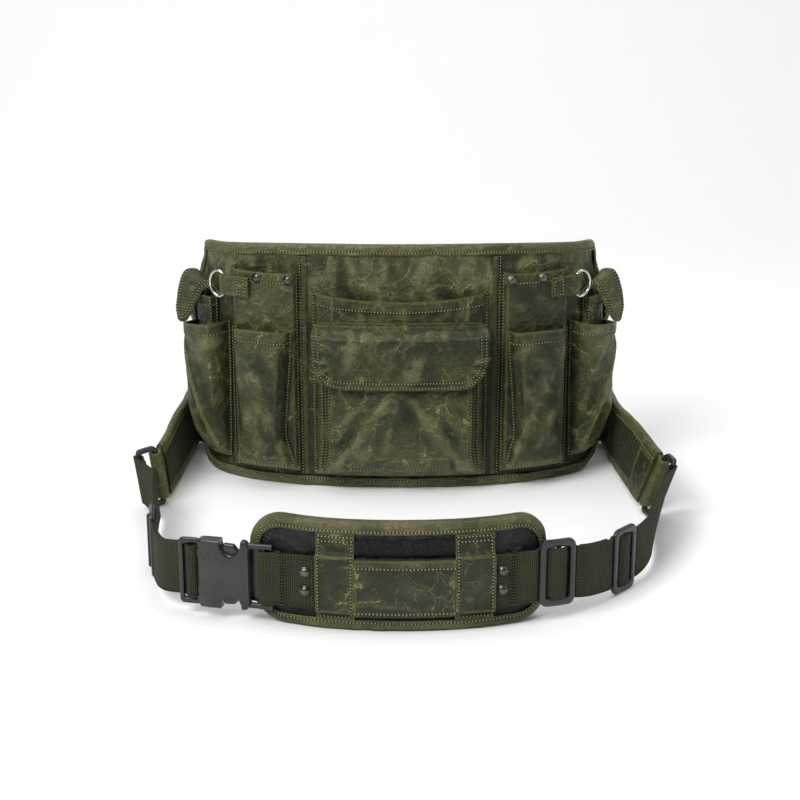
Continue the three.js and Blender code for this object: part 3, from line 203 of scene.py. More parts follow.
# %% A mesh from points, faces and a flat layout
def new_object(name, points, quads, uv, slots=None, sharp=40):
    """An object in the belt's frame from points in metres, faces and a uv pair per corner."""
    mesh = bpy.data.meshes.new(name)
    mesh.from_pydata([tuple(p) for p in points], [], [tuple(int(i) for i in q) for q in quads])
    layer = mesh.uv_layers.new(name="cloth")
    corners = np.empty(len(mesh.loops), dtype=np.int32)
    mesh.loops.foreach_get("vertex_index", corners)
    layer.data.foreach_set("uv", np.asarray(uv, np.float32)[corners].ravel())
    if slots is not None:
        mesh.polygons.foreach_set("material_index", np.asarray(slots, np.int32))
    mesh.validate()
    mesh.shade_smooth()
    mesh.set_sharp_from_angle(angle=math.radians(sharp))
    return linked(name, mesh)


def outward(points, quads):
    """Faces turned outwards, whichever way round the grid was walked."""
    a, b, c, d = (points[quads[:, k]] for k in range(4))
    size = np.einsum("ij,ij->i", a, np.cross(b, c)) + np.einsum("ij,ij->i", a, np.cross(c, d))
    return quads[:, ::-1] if size.sum() < 0 else quads


def grid_quads(rows, cols, start=0, flip=False):
    i, j = np.meshgrid(np.arange(rows - 1), np.arange(cols - 1), indexing="ij")
    a = (start + i * cols + j).ravel()
    quads = np.stack([a, a + 1, a + cols + 1, a + cols], axis=1)
    return quads[:, ::-1] if flip else quads


# %% Walled sheets
def walled(name, outer, inner, flat, sharp=40, rim_slot=0):
    """A sheet between two grids of points, closed round its rim."""
    rows, cols = outer.shape[:2]
    points = np.concatenate([outer.reshape(-1, 3), inner.reshape(-1, 3)])
    half = rows * cols
    number = np.arange(half).reshape(rows, cols)
    border = np.concatenate([number[0, :-1], number[:-1, -1], number[-1, :0:-1], number[:0:-1, 0]])
    following = np.roll(border, -1)
    rim = np.stack([following, border, border + half, following + half], axis=1)
    faces = [grid_quads(rows, cols), grid_quads(rows, cols, half, True), rim]
    quads = outward(points, np.concatenate(faces))
    slots = np.concatenate([np.zeros(len(faces[0]) + len(faces[1])), np.full(len(rim), rim_slot)])
    uv = np.concatenate([flat.reshape(-1, 2), flat.reshape(-1, 2) + [0.37, 0.53]])
    return new_object(name, points, quads, uv, slots, sharp)


def wall_behind(grid, thick, seat, one_way=False):
    """A sheet's hidden face in flat millimetres: behind the grid, but never below the seat."""
    normal = unit(np.cross(np.gradient(grid, axis=1), np.gradient(grid, axis=0)))
    normal *= np.sign(normal[..., 2].mean()) if one_way else np.where(normal[..., 2:] < 0, -1, 1)
    inner = grid - normal * thick
    inner[..., 2] = np.maximum(inner[..., 2], seat)
    return inner


def write_crest(piece, values):
    """Tells the finish where to paint light: up to 1 where a point rises into a fold, for rubbed wear and a
    painted highlight, down to -1 where it sinks, for painted shade.
    """
    layer = piece.data.attributes.new("crest", "FLOAT", "POINT")
    layer.data.foreach_set("value", values.astype(np.float32))


def mark_crests(piece, crest):
    """Crests for the outer face of a walled sheet."""
    write_crest(piece, np.concatenate([np.clip(crest, -1, 1).ravel(), np.zeros(crest.size)]))


# %% Swept sections
def swept(name, sections, closed=False, sharp=40):
    """Sections joined in a row, or in a ring, each a closed outline of as many points."""
    count, sides = sections.shape[:2]
    points = sections.reshape(-1, 3)
    rings = count if closed else count - 1
    i, j = np.meshgrid(np.arange(rings), np.arange(sides), indexing="ij")
    a = i * sides + j
    b = i * sides + (j + 1) % sides
    up = ((i + 1) % count) * sides - i * sides
    quads = np.stack([a, b, b + up, a + up], axis=-1).reshape(-1, 4)
    along = np.linalg.norm(np.diff(sections[:, 0], axis=0), axis=1)
    along = np.concatenate([[0], np.cumsum(along)])
    around = np.linalg.norm(np.diff(sections[0], axis=0), axis=1)
    around = np.concatenate([[0], np.cumsum(around)])
    uv = np.stack(np.meshgrid(along, around, indexing="ij"), axis=-1).reshape(-1, 2)
    if not closed:
        ends = []
        for k in (0, count - 1):
            middle = len(points)
            points = np.concatenate([points, sections[k].mean(axis=0)[None]])
            uv = np.concatenate([uv, uv[k * sides : (k + 1) * sides].mean(axis=0)[None]])
            ring = k * sides + np.arange(sides)
            turn = np.roll(ring, -1)
            pair = (turn, ring) if k == 0 else (ring, turn)
            ends.append(np.stack([*pair, np.full(sides, middle), np.full(sides, middle)], axis=1))
        quads = np.concatenate([quads, *ends])
    quads = outward(points, quads)
    faces = [tuple(dict.fromkeys(int(i) for i in q)) for q in quads]
    return new_object(name, points, faces, uv, None, sharp)


# %% [markdown]
# ## Studio
# Work goods are pictured on white paper. The paper curves up behind the belt, so no line shows
# where the floor ends. One wide light above fills everything, one from the left front models the
# folds, and two weak ones open the shadows. A sky picture could do it too, but would be an image.

# %% Floor and wall
BEND_FROM, BEND_ROUND = 0.9, 0.9


def studio_floor():
    turns = np.linspace(0.1, 1.5, 14)
    bend = zip(BEND_FROM + BEND_ROUND * np.sin(turns), BEND_ROUND - BEND_ROUND * np.cos(turns))
    sweep = [(-6, 0), (BEND_FROM, 0), *bend, (BEND_FROM + BEND_ROUND, 6)]
    grid = np.array([[(x, y, z + cad_box[0][2]) for x in (-7, 0, 7)] for y, z in sweep])
    points, quads = grid.reshape(-1, 3), grid_quads(*grid.shape[:2])
    paper = new_object("studio_floor", points, quads, np.zeros((len(points), 2)), None, 180)
    look = bpy.data.materials.new("studio_paper")
    look.use_nodes = True
    shader = look.node_tree.nodes["Principled BSDF"]
    shader.inputs["Base Color"].default_value = (0.93, 0.93, 0.93, 1)
    shader.inputs["Roughness"].default_value = 0.9
    paper.data.materials.append(look)


studio_floor()


# %% Lights
def studio_light(name, place, aim, size, power):
    data = bpy.data.lights.new(name, "AREA")
    data.shape = "RECTANGLE"
    data.size, data.size_y = size
    data.energy = power
    light = linked(name, data)
    light.location = place
    x, y, z = np.array(place) - np.array(aim)
    light.rotation_euler = (math.atan2(math.hypot(x, y), z), 0, math.atan2(y, x) + math.pi / 2)


studio_light("top_light", (0.1, 0.1, 2.4), (0, 0, 0), (2.4, 2.0), 30)
studio_light("key_light", (-1.3, -1.5, 2.0), (0, 0, 0.1), (1.3, 1.3), 64)
studio_light("right_light", (1.9, -0.6, 1.1), (0, 0, 0.1), (0.7, 1.2), 9)
studio_light("front_light", (0.2, -2.6, 1.6), (0, 0, 0.1), (2.0, 0.8), 2)
world = bpy.data.worlds.new("studio_air")
world.use_nodes = True
air = world.node_tree.nodes["Background"]
air.inputs["Color"].default_value = (0.95, 0.97, 1, 1)
air.inputs["Strength"].default_value = 0.09
bpy.context.scene.world = world
bpy.context.scene.view_settings.view_transform = "Standard"
print("studio is set")

# %% [markdown]
# ## Finishes
# Waxed leather is darker and lighter in broad clouds, greener and greyer where it is rubbed, and it shows
# pale yellow-green veins where the wax has cracked. Painted light comes on top: a painted highlight, with
# rubbed wear, on fold ridges, and painted shade in fold hollows, gussets, under the flap and behind the
# pockets. The veins are the thin borders between warped cells, kept only in patches. Everything is read from
# Object coordinates, so it stays on the belt when the view moves.

# %% Helpers for shader trees
def node(tree, kind, inputs=None, **settings):
    made = tree.nodes.new(kind)
    for key, value in settings.items():
        setattr(made, key, value)
    for key, value in (inputs or {}).items():
        if isinstance(value, bpy.types.NodeSocket):
            tree.links.new(value, made.inputs[key])
        else:
            made.inputs[key].default_value = value
    return made


def mixed(tree, factor, one, other, blend="MIX"):
    made = node(tree, "ShaderNodeMix", {0: factor, 6: one, 7: other}, data_type="RGBA")
    made.blend_type = blend
    return made.outputs[2]


# %% Numbers for the shader
def between(tree, value, low, high, to_low=0.0, to_high=1.0):
    """A smooth 0 to 1 as the value goes from low to high."""
    inputs = {"Value": value, "From Min": low, "From Max": high}
    inputs.update({"To Min": to_low, "To Max": to_high})
    made = node(tree, "ShaderNodeMapRange", inputs, interpolation_type="SMOOTHSTEP")
    return made.outputs[0]


def arithmetic(tree, operation, *values):
    return node(tree, "ShaderNodeMath", dict(enumerate(values)), operation=operation).outputs[0]


def moved(tree, operation, vector, settings):
    """A vector changed by another vector or by a scale."""
    inputs = {0: vector, **settings}
    return node(tree, "ShaderNodeVectorMath", inputs, operation=operation).outputs[0]


def times(tree, one, other):
    return arithmetic(tree, "MULTIPLY", one, other)


def noise(tree, coordinates, scale, detail=3.0, rough=0.55, output=0):
    inputs = {"Vector": coordinates, "Scale": scale, "Detail": detail, "Roughness": rough}
    return node(tree, "ShaderNodeTexNoise", inputs).outputs[output]


def on_the_belt(tree):
    """Coordinates that stay with the belt when the view moves."""
    return node(tree, "ShaderNodeTexCoord").outputs["Object"]


# %% A finish and its sockets
def bump(tree, height, distance, strength, normal=None):
    inputs = {"Height": height, "Distance": distance, "Strength": strength}
    if normal is not None:
        inputs["Normal"] = normal
    return node(tree, "ShaderNodeBump", inputs).outputs["Normal"]


def new_finish(name, rough=0.6, metal=0.0, specular=0.5):
    look = bpy.data.materials.new(name)
    look.use_nodes = True
    shader = look.node_tree.nodes["Principled BSDF"]
    shader.inputs["Roughness"].default_value = rough
    shader.inputs["Metallic"].default_value = metal
    shader.inputs["Specular IOR Level"].default_value = specular
    return look, look.node_tree, shader


def connect(tree, shader, colour=None, rough=None, normal=None):
    for socket, value in (("Base Color", colour), ("Roughness", rough), ("Normal", normal)):
        if value is not None:
            tree.links.new(value, shader.inputs[socket])


# %% Veins
VEIN_SIZES = ((31, 0.021, 0.15), (82, 0.028, 0.2))


def veins_of(tree, place, warped, clouds, mottle):
    """Thin broken borders between cells, the soft halo beside them, and a finer net of halos."""
    lines, halos = [], []
    for scale, thin, wide in VEIN_SIZES:
        settings = {"Vector": warped, "Scale": scale, "Randomness": 1.0}
        cells = node(tree, "ShaderNodeTexVoronoi", settings, feature="DISTANCE_TO_EDGE")
        edge = cells.outputs["Distance"]
        lines.append(between(tree, edge, 0.0, thin, 1.0, 0.0))
        halos.append(between(tree, edge, 0.0, wide, 1.0, 0.0))
    here = between(tree, noise(tree, place, 21, 3), 0.46, 0.6)
    fine = times(tree, times(tree, lines[1], between(tree, clouds, 0.47, 0.62)), 0.6)
    cracks = arithmetic(tree, "MAXIMUM", times(tree, lines[0], here), fine)
    cracks = times(tree, cracks, between(tree, mottle, 0.4, 0.55))
    return cracks, times(tree, halos[0], here), halos[1]


# %% The leather's layers
def waxed_leather(name, hollow, body, rubbed_and_lit, tint, vein, veins=0.8, relief=1.0, tinted=0.55):
    look, tree, shader = new_finish(name, specular=0.36)
    place = on_the_belt(tree)
    warp = moved(tree, "SUBTRACT", noise(tree, place, 30, 4, output="Color"), {1: (0.5, 0.5, 0.5)})
    warped = moved(tree, "ADD", place, {1: moved(tree, "SCALE", warp, {"Scale": 0.03})})
    clouds = noise(tree, warped, 19, 4, 0.55)
    streak = noise(tree, warped, 60, 4, 0.6)
    mottle = noise(tree, place, 150, 5, 0.7)
    speckle = noise(tree, place, 900, 2, 0.7)
    cracks, halo, fine_halo = veins_of(tree, place, warped, clouds, mottle)
    colour = mixed(tree, between(tree, clouds, 0.34, 0.62), (*hollow, 1), (*body, 1))
    rub = times(tree, between(tree, mottle, 0.36, 0.7), between(tree, streak, 0.46, 0.72))
    colour = mixed(tree, times(tree, rub, 0.7), colour, (*rubbed_and_lit, 1))
    # Painted light from the crest value: raised places get rubbed wear with a painted highlight, and sunk
    # places get the dark colour as painted shade.
    crest = node(tree, "ShaderNodeAttribute", attribute_name="crest").outputs["Fac"]
    raised, sunk = between(tree, crest, 0.2, 1.0), between(tree, crest, -1.0, -0.1, 1.0, 0.0)
    raised = times(tree, raised, between(tree, streak, 0.38, 0.6, 0.15, 0.7))
    colour = mixed(tree, raised, colour, (*rubbed_and_lit, 1))
    colour = mixed(tree, times(tree, sunk, 0.9), colour, (*hollow, 1))
    # Sharp bends and edges turn paler: partly the wear of pull-up leather, partly a painted edge highlight.
    wear_and_light = between(tree, node(tree, "ShaderNodeNewGeometry").outputs["Pointiness"], 0.5015, 0.535)
    pulled = arithmetic(tree, "MAXIMUM", times(tree, halo, 0.5), wear_and_light)
    colour = mixed(tree, times(tree, pulled, tinted), colour, (*tint, 1))
    colour = mixed(tree, times(tree, cracks, veins), colour, (*vein, 1))
    colour = mixed(tree, 1.0, colour, between(tree, speckle, 0.3, 0.75, 0.52, 1.5), "MULTIPLY")
    rough = between(tree, clouds, 0.35, 0.7, 0.6, 0.42)
    height = arithmetic(tree, "SUBTRACT", times(tree, mottle, 0.9), cracks)
    normal = bump(tree, arithmetic(tree, "MULTIPLY_ADD", fine_halo, 0.5, streak), 0.0035 * relief, 0.34)
    normal = bump(tree, height, 0.0008 * relief, 0.6, normal)
    pores = node(tree, "ShaderNodeTexVoronoi", {"Vector": place, "Scale": 900.0})
    normal = bump(tree, pores.outputs["Distance"], 0.00022 * relief, 0.3, normal)
    connect(tree, shader, colour, rough, normal)
    return look


# %% The leathers
# The darkest colour is both the leather's dark clouds and painted shade; the rubbed colour is both rubbed
# wear and the painted highlight on fold ridges.
DARK_AND_SHADE = (0.017, 0.018, 0.006)
BODY = (0.053, 0.055, 0.019)
RUBBED_AND_LIT = (0.175, 0.172, 0.080)
TINT = (0.115, 0.112, 0.034)
VEIN = (0.290, 0.282, 0.115)
leather = waxed_leather("waxed_leather_olive", DARK_AND_SHADE, BODY, RUBBED_AND_LIT, TINT, VEIN)
EDGE_BODY = (0.096, 0.093, 0.040)
EDGE_HOLLOW, EDGE_RUBBED = (0.030, 0.031, 0.012), (0.190, 0.184, 0.092)
edge_leather = waxed_leather(
    "binding_leather_olive", EDGE_HOLLOW, EDGE_BODY, EDGE_RUBBED, TINT, VEIN, 0.35, 0.8, 0.4
)
black_hollow, black_body, black_rubbed = (0.005, 0.0055, 0.005), (0.011, 0.012, 0.012), (0.046, 0.048, 0.047)
black_tint, black_vein = (0.026, 0.028, 0.027), (0.070, 0.073, 0.071)
black_leather = waxed_leather(
    "lining_leather_black", black_hollow, black_body, black_rubbed, black_tint, black_vein, 0.4, 2.2
)
print("leathers:", leather.name, edge_leather.name, black_leather.name)

# %% [markdown]
# ## Woven goods
# Webbing and knit show their threads, so two waves on the piece's own uv, which is in metres, cross
# to a weave that follows every bend. Felt and thread are too fine for that, and a dense noise on
# Object coordinates is enough.

# %% Webbing and knit
def threads(tree, coordinate, pitch):
    return arithmetic(tree, "SINE", times(tree, coordinate, math.tau / pitch))


def woven(name, dark, light, along_pitch, across_pitch, rough, relief):
    """A plain weave drawn on the piece's own uv, whose units are metres."""
    look, tree, shader = new_finish(name, rough, specular=0.3)
    uv = node(tree, "ShaderNodeUVMap", uv_map="cloth").outputs["UV"]
    parts = node(tree, "ShaderNodeSeparateXYZ", {"Vector": uv})
    wander = arithmetic(tree, "MULTIPLY_ADD", noise(tree, uv, 300, 2), 0.0006, parts.outputs[0])
    along, across = threads(tree, wander, along_pitch), threads(tree, parts.outputs[1], across_pitch)
    ribs = arithmetic(tree, "MULTIPLY_ADD", along, 1.1, times(tree, along, across))
    faded = between(tree, noise(tree, uv, 60, 3), 0.2, 0.7, 0.65, 1.0)
    shade = times(tree, between(tree, ribs, -1.4, 1.6), faded)
    colour = mixed(tree, shade, (*dark, 1), (*light, 1))
    connect(tree, shader, colour, None, bump(tree, ribs, relief, 0.8))
    return look


webbing_look = woven(
    "webbing_olive", (0.014, 0.016, 0.007), (0.066, 0.070, 0.034), 0.0017, 0.0021, 0.85, 0.0005
)
knit_look = woven(
    "knit_mesh_dark", (0.002, 0.0025, 0.0015), (0.080, 0.084, 0.038), 0.0050, 0.0036, 0.9, 0.0014
)


# %% Felt and thread
def plain_cloth(name, dark, light, scale, relief):
    look, tree, shader = new_finish(name, 0.95, specular=0.2)
    fuzz = noise(tree, on_the_belt(tree), scale, 5, 0.75)
    colour = mixed(tree, between(tree, fuzz, 0.4, 0.75), (*dark, 1), (*light, 1))
    connect(tree, shader, colour, None, bump(tree, fuzz, relief, 1.0))
    shader.inputs["Sheen Weight"].default_value = 0.08
    return look


web_thread_look = plain_cloth("thread_olive", (0.060, 0.062, 0.032), (0.150, 0.150, 0.082), 2500, 0.0001)
felt_look = plain_cloth("felt_black", (0.004, 0.004, 0.004), (0.034, 0.034, 0.032), 620, 0.0016)
thread_look = plain_cloth("thread_khaki", (0.270, 0.262, 0.130), (0.500, 0.480, 0.270), 2500, 0.0001)
needle_shade_look = plain_cloth("needle_hole_shade", (0.004, 0.005, 0.002), (0.010, 0.011, 0.006), 900, 0.0001)
print("woven goods:", webbing_look.name, knit_look.name, felt_look.name)

# %% [markdown]
# ## Hard finishes
# Buckles are moulded in dull charcoal plastic, the rivets are bronze gone brown, and the two rings
# are bright nickel. All three are one recipe: a broad cloud for shine and tone, and a fine grain.

# %% Moulded plastic and metals
def hard_finish(name, dark, light, rough, metal, scale, relief):
    look, tree, shader = new_finish(name, metal=metal)
    place = on_the_belt(tree)
    broad, grain = noise(tree, place, 45, 3), noise(tree, place, scale, 3, 0.6)
    colour = mixed(tree, between(tree, broad, 0.35, 0.7), (*dark, 1), (*light, 1))
    shine = between(tree, broad, 0.3, 0.7, *rough)
    connect(tree, shader, colour, shine, bump(tree, grain, relief, 0.35))
    return look


plastic_look = hard_finish(
    "plastic_charcoal", (0.015, 0.0155, 0.0155), (0.027, 0.028, 0.028), (0.24, 0.36), 0.0, 1600, 0.00006
)
rivet_look = hard_finish(
    "rivet_bronze", (0.090, 0.086, 0.072), (0.165, 0.158, 0.138), (0.26, 0.4), 1.0, 900, 0.00008
)
nickel_look = hard_finish(
    "nickel_bright", (0.58, 0.57, 0.54), (0.68, 0.67, 0.63), (0.14, 0.24), 1.0, 700, 0.00003
)
print("finishes are ready")

# %% [markdown]
# ## Dressing
# Every piece gets its finishes in the order of its slots and is hung on the body that it rides on, and the
# imported solids that it stands for are hidden. One helper does it all, so nothing is forgotten.

# %% Dressing a piece
def dress(piece, look, nodes=(), body="belt"):
    """Gives a piece its finish and its body, and hides the nodes that it stands for."""
    looks = look if isinstance(look, (list, tuple)) else [look]
    for each in looks:
        piece.data.materials.append(each)
    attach(piece, body)
    if nodes:
        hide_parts(*nodes)
    return piece


# %% [markdown]
# ## The two curves that carry everything
# The pocket panel is bent once, slowly in the middle and sharply near its ends. The strap follows
# a smooth loop through named stations. Pieces are drawn flat, as they were cut, and these two
# curves bend them into place.

# %% The panel's curve
PANEL_HALF, PANEL_TALL, PANEL_THICK = 205, 221, 4
panel_marks = np.arange(0, PANEL_HALF + 41)
step_share = np.minimum((panel_marks[1:] - 0.5) / PANEL_HALF, 1)
step_turn = 0.383 * step_share + 0.929 * step_share**4
panel_x = np.concatenate([[0], np.cumsum(np.cos(step_turn))])
panel_y = np.concatenate([[0], np.cumsum(np.sin(step_turn))])
panel_turn = np.concatenate([[0], (step_turn[1:] + step_turn[:-1]) / 2, step_turn[-1:]])


def on_panel(along, up, out):
    """A point of the panel from flat millimetres: along it, up, and out from its front face."""
    along, up, out = as_arrays(along, up, out)
    side = np.where(along < 0, -1.0, 1.0)
    reach = np.abs(along)
    turn = np.interp(reach, panel_marks, panel_turn) * side
    x = np.interp(reach, panel_marks, panel_x) * side + np.sin(turn) * out
    y = np.interp(reach, panel_marks, panel_y) - np.cos(turn) * out
    return np.stack([x, y, up], axis=-1) * MM + shift


def on_drawn_panel(along, up, out):
    """As on_panel, with the panel's two top corners drawn back by the wings behind them."""
    along, up, out = as_arrays(along, up, out)
    reach = np.abs(along)
    back = np.where(along < 0, 8.0, 9.0) * smooth_step(reach, 150, 205) * smooth_step(up, 160, 196)
    swell = smooth_step(reach, 184, 205) * smooth_step(up, 120, 145)
    return on_panel(along, up, out - back + 7 * swell * (1 - smooth_step(up, 160, 182)))


def placed(flat, surface=on_panel):
    """Flat points whose last axis is along, up, out, brought onto a surface of the belt."""
    return surface(flat[..., 0], flat[..., 1], flat[..., 2])


print("the panel's end turns by", round(math.degrees(panel_turn[PANEL_HALF])), "degrees")


# %% The strap's loop
LOOP_HALF, LOOP_DEEP = 205, 285
WING_LAP, WING_THICK, SEAM = 15, 3, 0.3
PER_SPAN = 16
loop_stations = [
    ("wing_left", -0.933, -0.34, 5.5),
    ("", -0.955, -0.18, 5.5),
    ("", -0.97, -0.03, 5.5),
    ("wing_end_left", -0.985, 0.13, 5.5),
    ("", -0.985, 0.3, 5.5),
    ("", -0.972, 0.46, 5.5),
    ("slider_left", -0.957, 0.615, 5.5),
    ("", -0.925, 0.745, 8),
    ("", -0.878, 0.835, 12),
    ("", -0.8, 0.887, 15),
    ("", -0.665, 0.918, 16.5),
    ("female", -0.525, 0.94, 16.5),
    ("", -0.268, 0.985, 17),
    ("pad", 0, 1, 17),
    ("", 0.268, 0.985, 17),
    ("", 0.525, 0.94, 18),
    ("slider_front", 0.576, 0.9245, 18),
    ("", 0.7, 0.866, 12),
    ("slider_rear", 0.845, 0.742, 5.5),
    ("", 0.925, 0.665, 5.5),
    ("", 0.972, 0.58, 5.5),
    ("", 0.995, 0.46, 5.5),
    ("", 1.003, 0.33, 5.5),
    ("wing_end_right", 1.005, 0.19, 5.5),
    ("", 0.985, 0.03, 5.5),
    ("", 0.955, -0.15, 5.5),
    ("wing_right", 0.933, -0.34, 5.5),
]
print("stations:", len(loop_stations))


# %% A smooth line through stations
def through_stations(points, per_span):
    """A centripetal curve through points, sampled evenly in each span."""
    first = 2 * points[0] - points[1]
    last = 2 * points[-1] - points[-2]
    full = np.concatenate([[first], points, [last]])
    found = []
    for k in range(1, len(full) - 2):
        p0, p1, p2, p3 = full[k - 1 : k + 3]
        spans = (p1 - p0, p2 - p1, p3 - p2)
        d0, d1, d2 = (max(np.linalg.norm(span), 1e-4) ** 0.5 for span in spans)
        t1 = ((p1 - p0) / d0 - (p2 - p0) / (d0 + d1) + (p2 - p1) / d1) * d1
        t2 = ((p2 - p1) / d1 - (p3 - p1) / (d1 + d2) + (p3 - p2) / d2) * d1
        for w in np.arange(per_span) / per_span:
            cubic = p1 + t1 * w + (-3 * p1 + 3 * p2 - 2 * t1 - t2) * w**2
            found.append(cubic + (2 * p1 - 2 * p2 + t1 + t2) * w**3)
    return np.array([*found, points[-1]])


def plan_turn(along):
    turn = np.interp(abs(along), panel_marks, panel_turn) * math.copysign(1, along)
    x = np.interp(abs(along), panel_marks, panel_x) * math.copysign(1, along)
    return np.array([x, np.interp(abs(along), panel_marks, panel_y)]), turn


# %% How the wings leave the panel
def wing_bend(side, target):
    """From the back of the panel's end, round to where the wing runs straight."""
    out = PANEL_THICK + 2 * (FOLD_SLACK + BINDING_WALL + SEAM) + WING_THICK / 2
    lap = []
    for along in np.linspace(PANEL_HALF - WING_LAP, PANEL_HALF, WING_LAP + 1):
        point, turn = plan_turn(side * along)
        lap.append(point + out * np.array([-math.sin(turn), math.cos(turn)]))
    root, before = lap[-1], lap[-2]
    onward = unit(root - before)
    reach = 3.2 * abs(target[0] - root[0])
    handles = [root, root + onward * reach * 0.62, target + [0, reach * 0.45], target]
    w = np.linspace(0, 1, 41)[1:-1, None]
    a, b, c, d = (np.array(h) for h in handles)
    bezier = a * (1 - w) ** 3 + 3 * b * w * (1 - w) ** 2 + 3 * c * w**2 * (1 - w) + d * w**3
    return np.concatenate([lap, bezier])


station_points = np.array([(s * LOOP_HALF, -f * LOOP_DEEP, rise) for _, s, f, rise in loop_stations])
middle_run = through_stations(station_points, PER_SPAN)
left_bend = wing_bend(-1, station_points[0][:2])
right_bend = wing_bend(1, station_points[-1][:2])[::-1]
loop_line = np.concatenate([left_bend, middle_run[:, :2], right_bend])
lengths = np.concatenate([[0], np.cumsum(np.linalg.norm(np.diff(loop_line, axis=0), axis=1))])
pad_index = [name for name, *_ in loop_stations].index("pad")
lengths -= lengths[len(left_bend) + pad_index * PER_SPAN]
headings = unit(np.gradient(loop_line, axis=0))
station_lengths = lengths[len(left_bend) :: PER_SPAN]
marks = {name: length for (name, *_), length in zip(loop_stations, station_lengths) if name}
rise_marks = lengths[len(left_bend) : len(left_bend) + len(middle_run)]
loop_start, loop_end = lengths[0], lengths[-1]
print("the loop is", round((loop_end - loop_start) / 1000, 3), "m from wing root to wing root")

# %% Places on the loop
left_lean = table("at lean", (-0.24, 0), (0.15, 0.14), (0.34, 0.08), (0.56, 0))
right_lean = table("at lean", (-0.24, 0), (0.18, 0.36), (0.42, 0.24), (0.66, 0))


def rise_at(along):
    return np.interp(along, rise_marks, middle_run[:, 2])


def plan_point(along, out):
    """x and y of the loop at a length, moved out square to it, also past its two ends."""
    along = np.asarray(along, float)
    x = np.interp(along, lengths, loop_line[:, 0])
    y = np.interp(along, lengths, loop_line[:, 1])
    tx = np.interp(along, lengths, headings[:, 0])
    ty = np.interp(along, lengths, headings[:, 1])
    size = np.hypot(tx, ty)
    tx, ty = tx / size, ty / size
    past = along - np.clip(along, loop_start, loop_end)
    return x + tx * past + ty * out, y + ty * past - tx * out


def on_loop(along, up, out):
    """A point of the loop from flat millimetres: along it, up, and out from its middle."""
    along, up, out = as_arrays(along, up, out)
    x, y = plan_point(along, out)
    left = table_column(left_lean, "lean", -y / LOOP_DEEP)
    right = table_column(right_lean, "lean", -y / LOOP_DEEP)
    x = np.where(x < 0, x - up * left, x + up * right)
    return np.stack([x, y, up], axis=-1) * MM + shift

# %% [markdown]
# ## Sewing
# Stitches repeat along every seam, so they are the natural work for Geometry Nodes. Each seam is
# only noted here as a line of points lying on its leather. Once all the pieces are made, one tree
# sets a thread and a dark dot, painted shade for the needle hole, at each step along all of these lines.

# %% Noting seams on a surface
seams = []
THREAD_LIFT = 0.12


def even_line(points, spacing):
    """The same line with points at even steps."""
    points = np.asarray(points, float)
    run = np.concatenate([[0], np.cumsum(np.linalg.norm(np.diff(points, axis=0), axis=1))])
    count = max(2, int(run[-1] / spacing) + 1)
    at = np.linspace(0, run[-1], count)
    return np.stack([np.interp(at, run, points[:, k]) for k in range(points.shape[1])], axis=1)


def outwards(surface, s, t):
    """One millimetre square to a surface, at places given as its own two numbers."""
    step = 1e-3
    across = surface(s + step, t) - surface(s - step, t)
    up = surface(s, t + step) - surface(s, t - step)
    return unit(np.cross(across, up)) * MM


def sew(surface, corners, spacing=0.01):
    """Notes a seam through corners given as the surface's own two numbers."""
    line = even_line(corners, spacing)
    points = surface(line[:, 0], line[:, 1])
    towards = outwards(surface, line[:, 0], line[:, 1])
    if towards[len(towards) // 2] @ outside(points[len(points) // 2]) < 0:
        towards = -towards
    seams.append(points + towards * THREAD_LIFT)


def outside(point):
    """Roughly away from the leather: towards the pockets' side, or out of the loop."""
    return np.array([0, -1, 0.0]) if point[1] > -0.1 else np.array([point[0], point[1] - 0.05, 0])


# %% [markdown]
# ## Bound slabs
# The panel and the back rest are made alike: a slab with rounded corners, and an edging of lighter
# leather folded over its rim and sewn down through all layers. The edging is a swept section, and
# the slab is a pair of grids whose columns follow the rounded outline.

# %% Rounded outlines
BINDING_WIDE, CHANNEL_SLACK = 8.8, 0.9
SEAM_DEEP, EDGING_STEP = 6.6, 1.6


def shape_of(half, tall, low_corner, top_corner, dip):
    return dict(half=half, tall=tall, low_corner=low_corner, top_corner=top_corner, dip=dip)


def edge_heights(shape, inset, along):
    """The lower and upper edge of a rounded outline that lies inset from its border."""

    def cut(corner):
        past = np.maximum(0, np.abs(along) - (shape["half"] - corner))
        radius = corner - inset
        return radius - np.sqrt(np.maximum(0, radius**2 - past**2))

    dip = shape["dip"] * (np.abs(along) / shape["half"]) ** 3
    low = inset + cut(shape["low_corner"])
    return low, shape["tall"] - inset - dip - cut(shape["top_corner"])


def outline_points(shape, spacing):
    """The rounded outline walked once round: along, up and the direction outwards."""
    half, tall, low, top, dip = shape.values()
    corners = [(half - low, low, low, -0.5), (half - top, tall - top, top, 0)]
    corners += [(top - half, tall - top, top, 0.5), (low - half, low, low, 1)]
    walk = []
    for u, v, radius, quarter in corners:
        for turn in np.linspace(quarter, quarter + 0.5, 24) * math.pi:
            walk.append((u + radius * math.cos(turn), v + radius * math.sin(turn)))
    walk.append(walk[0])
    walk = even_line(walk, spacing)[:-1]
    walk[:, 1] -= np.where(walk[:, 1] > tall / 2, dip * (np.abs(walk[:, 0]) / half) ** 3, 0)
    return walk, square_to(ring_steps(walk))


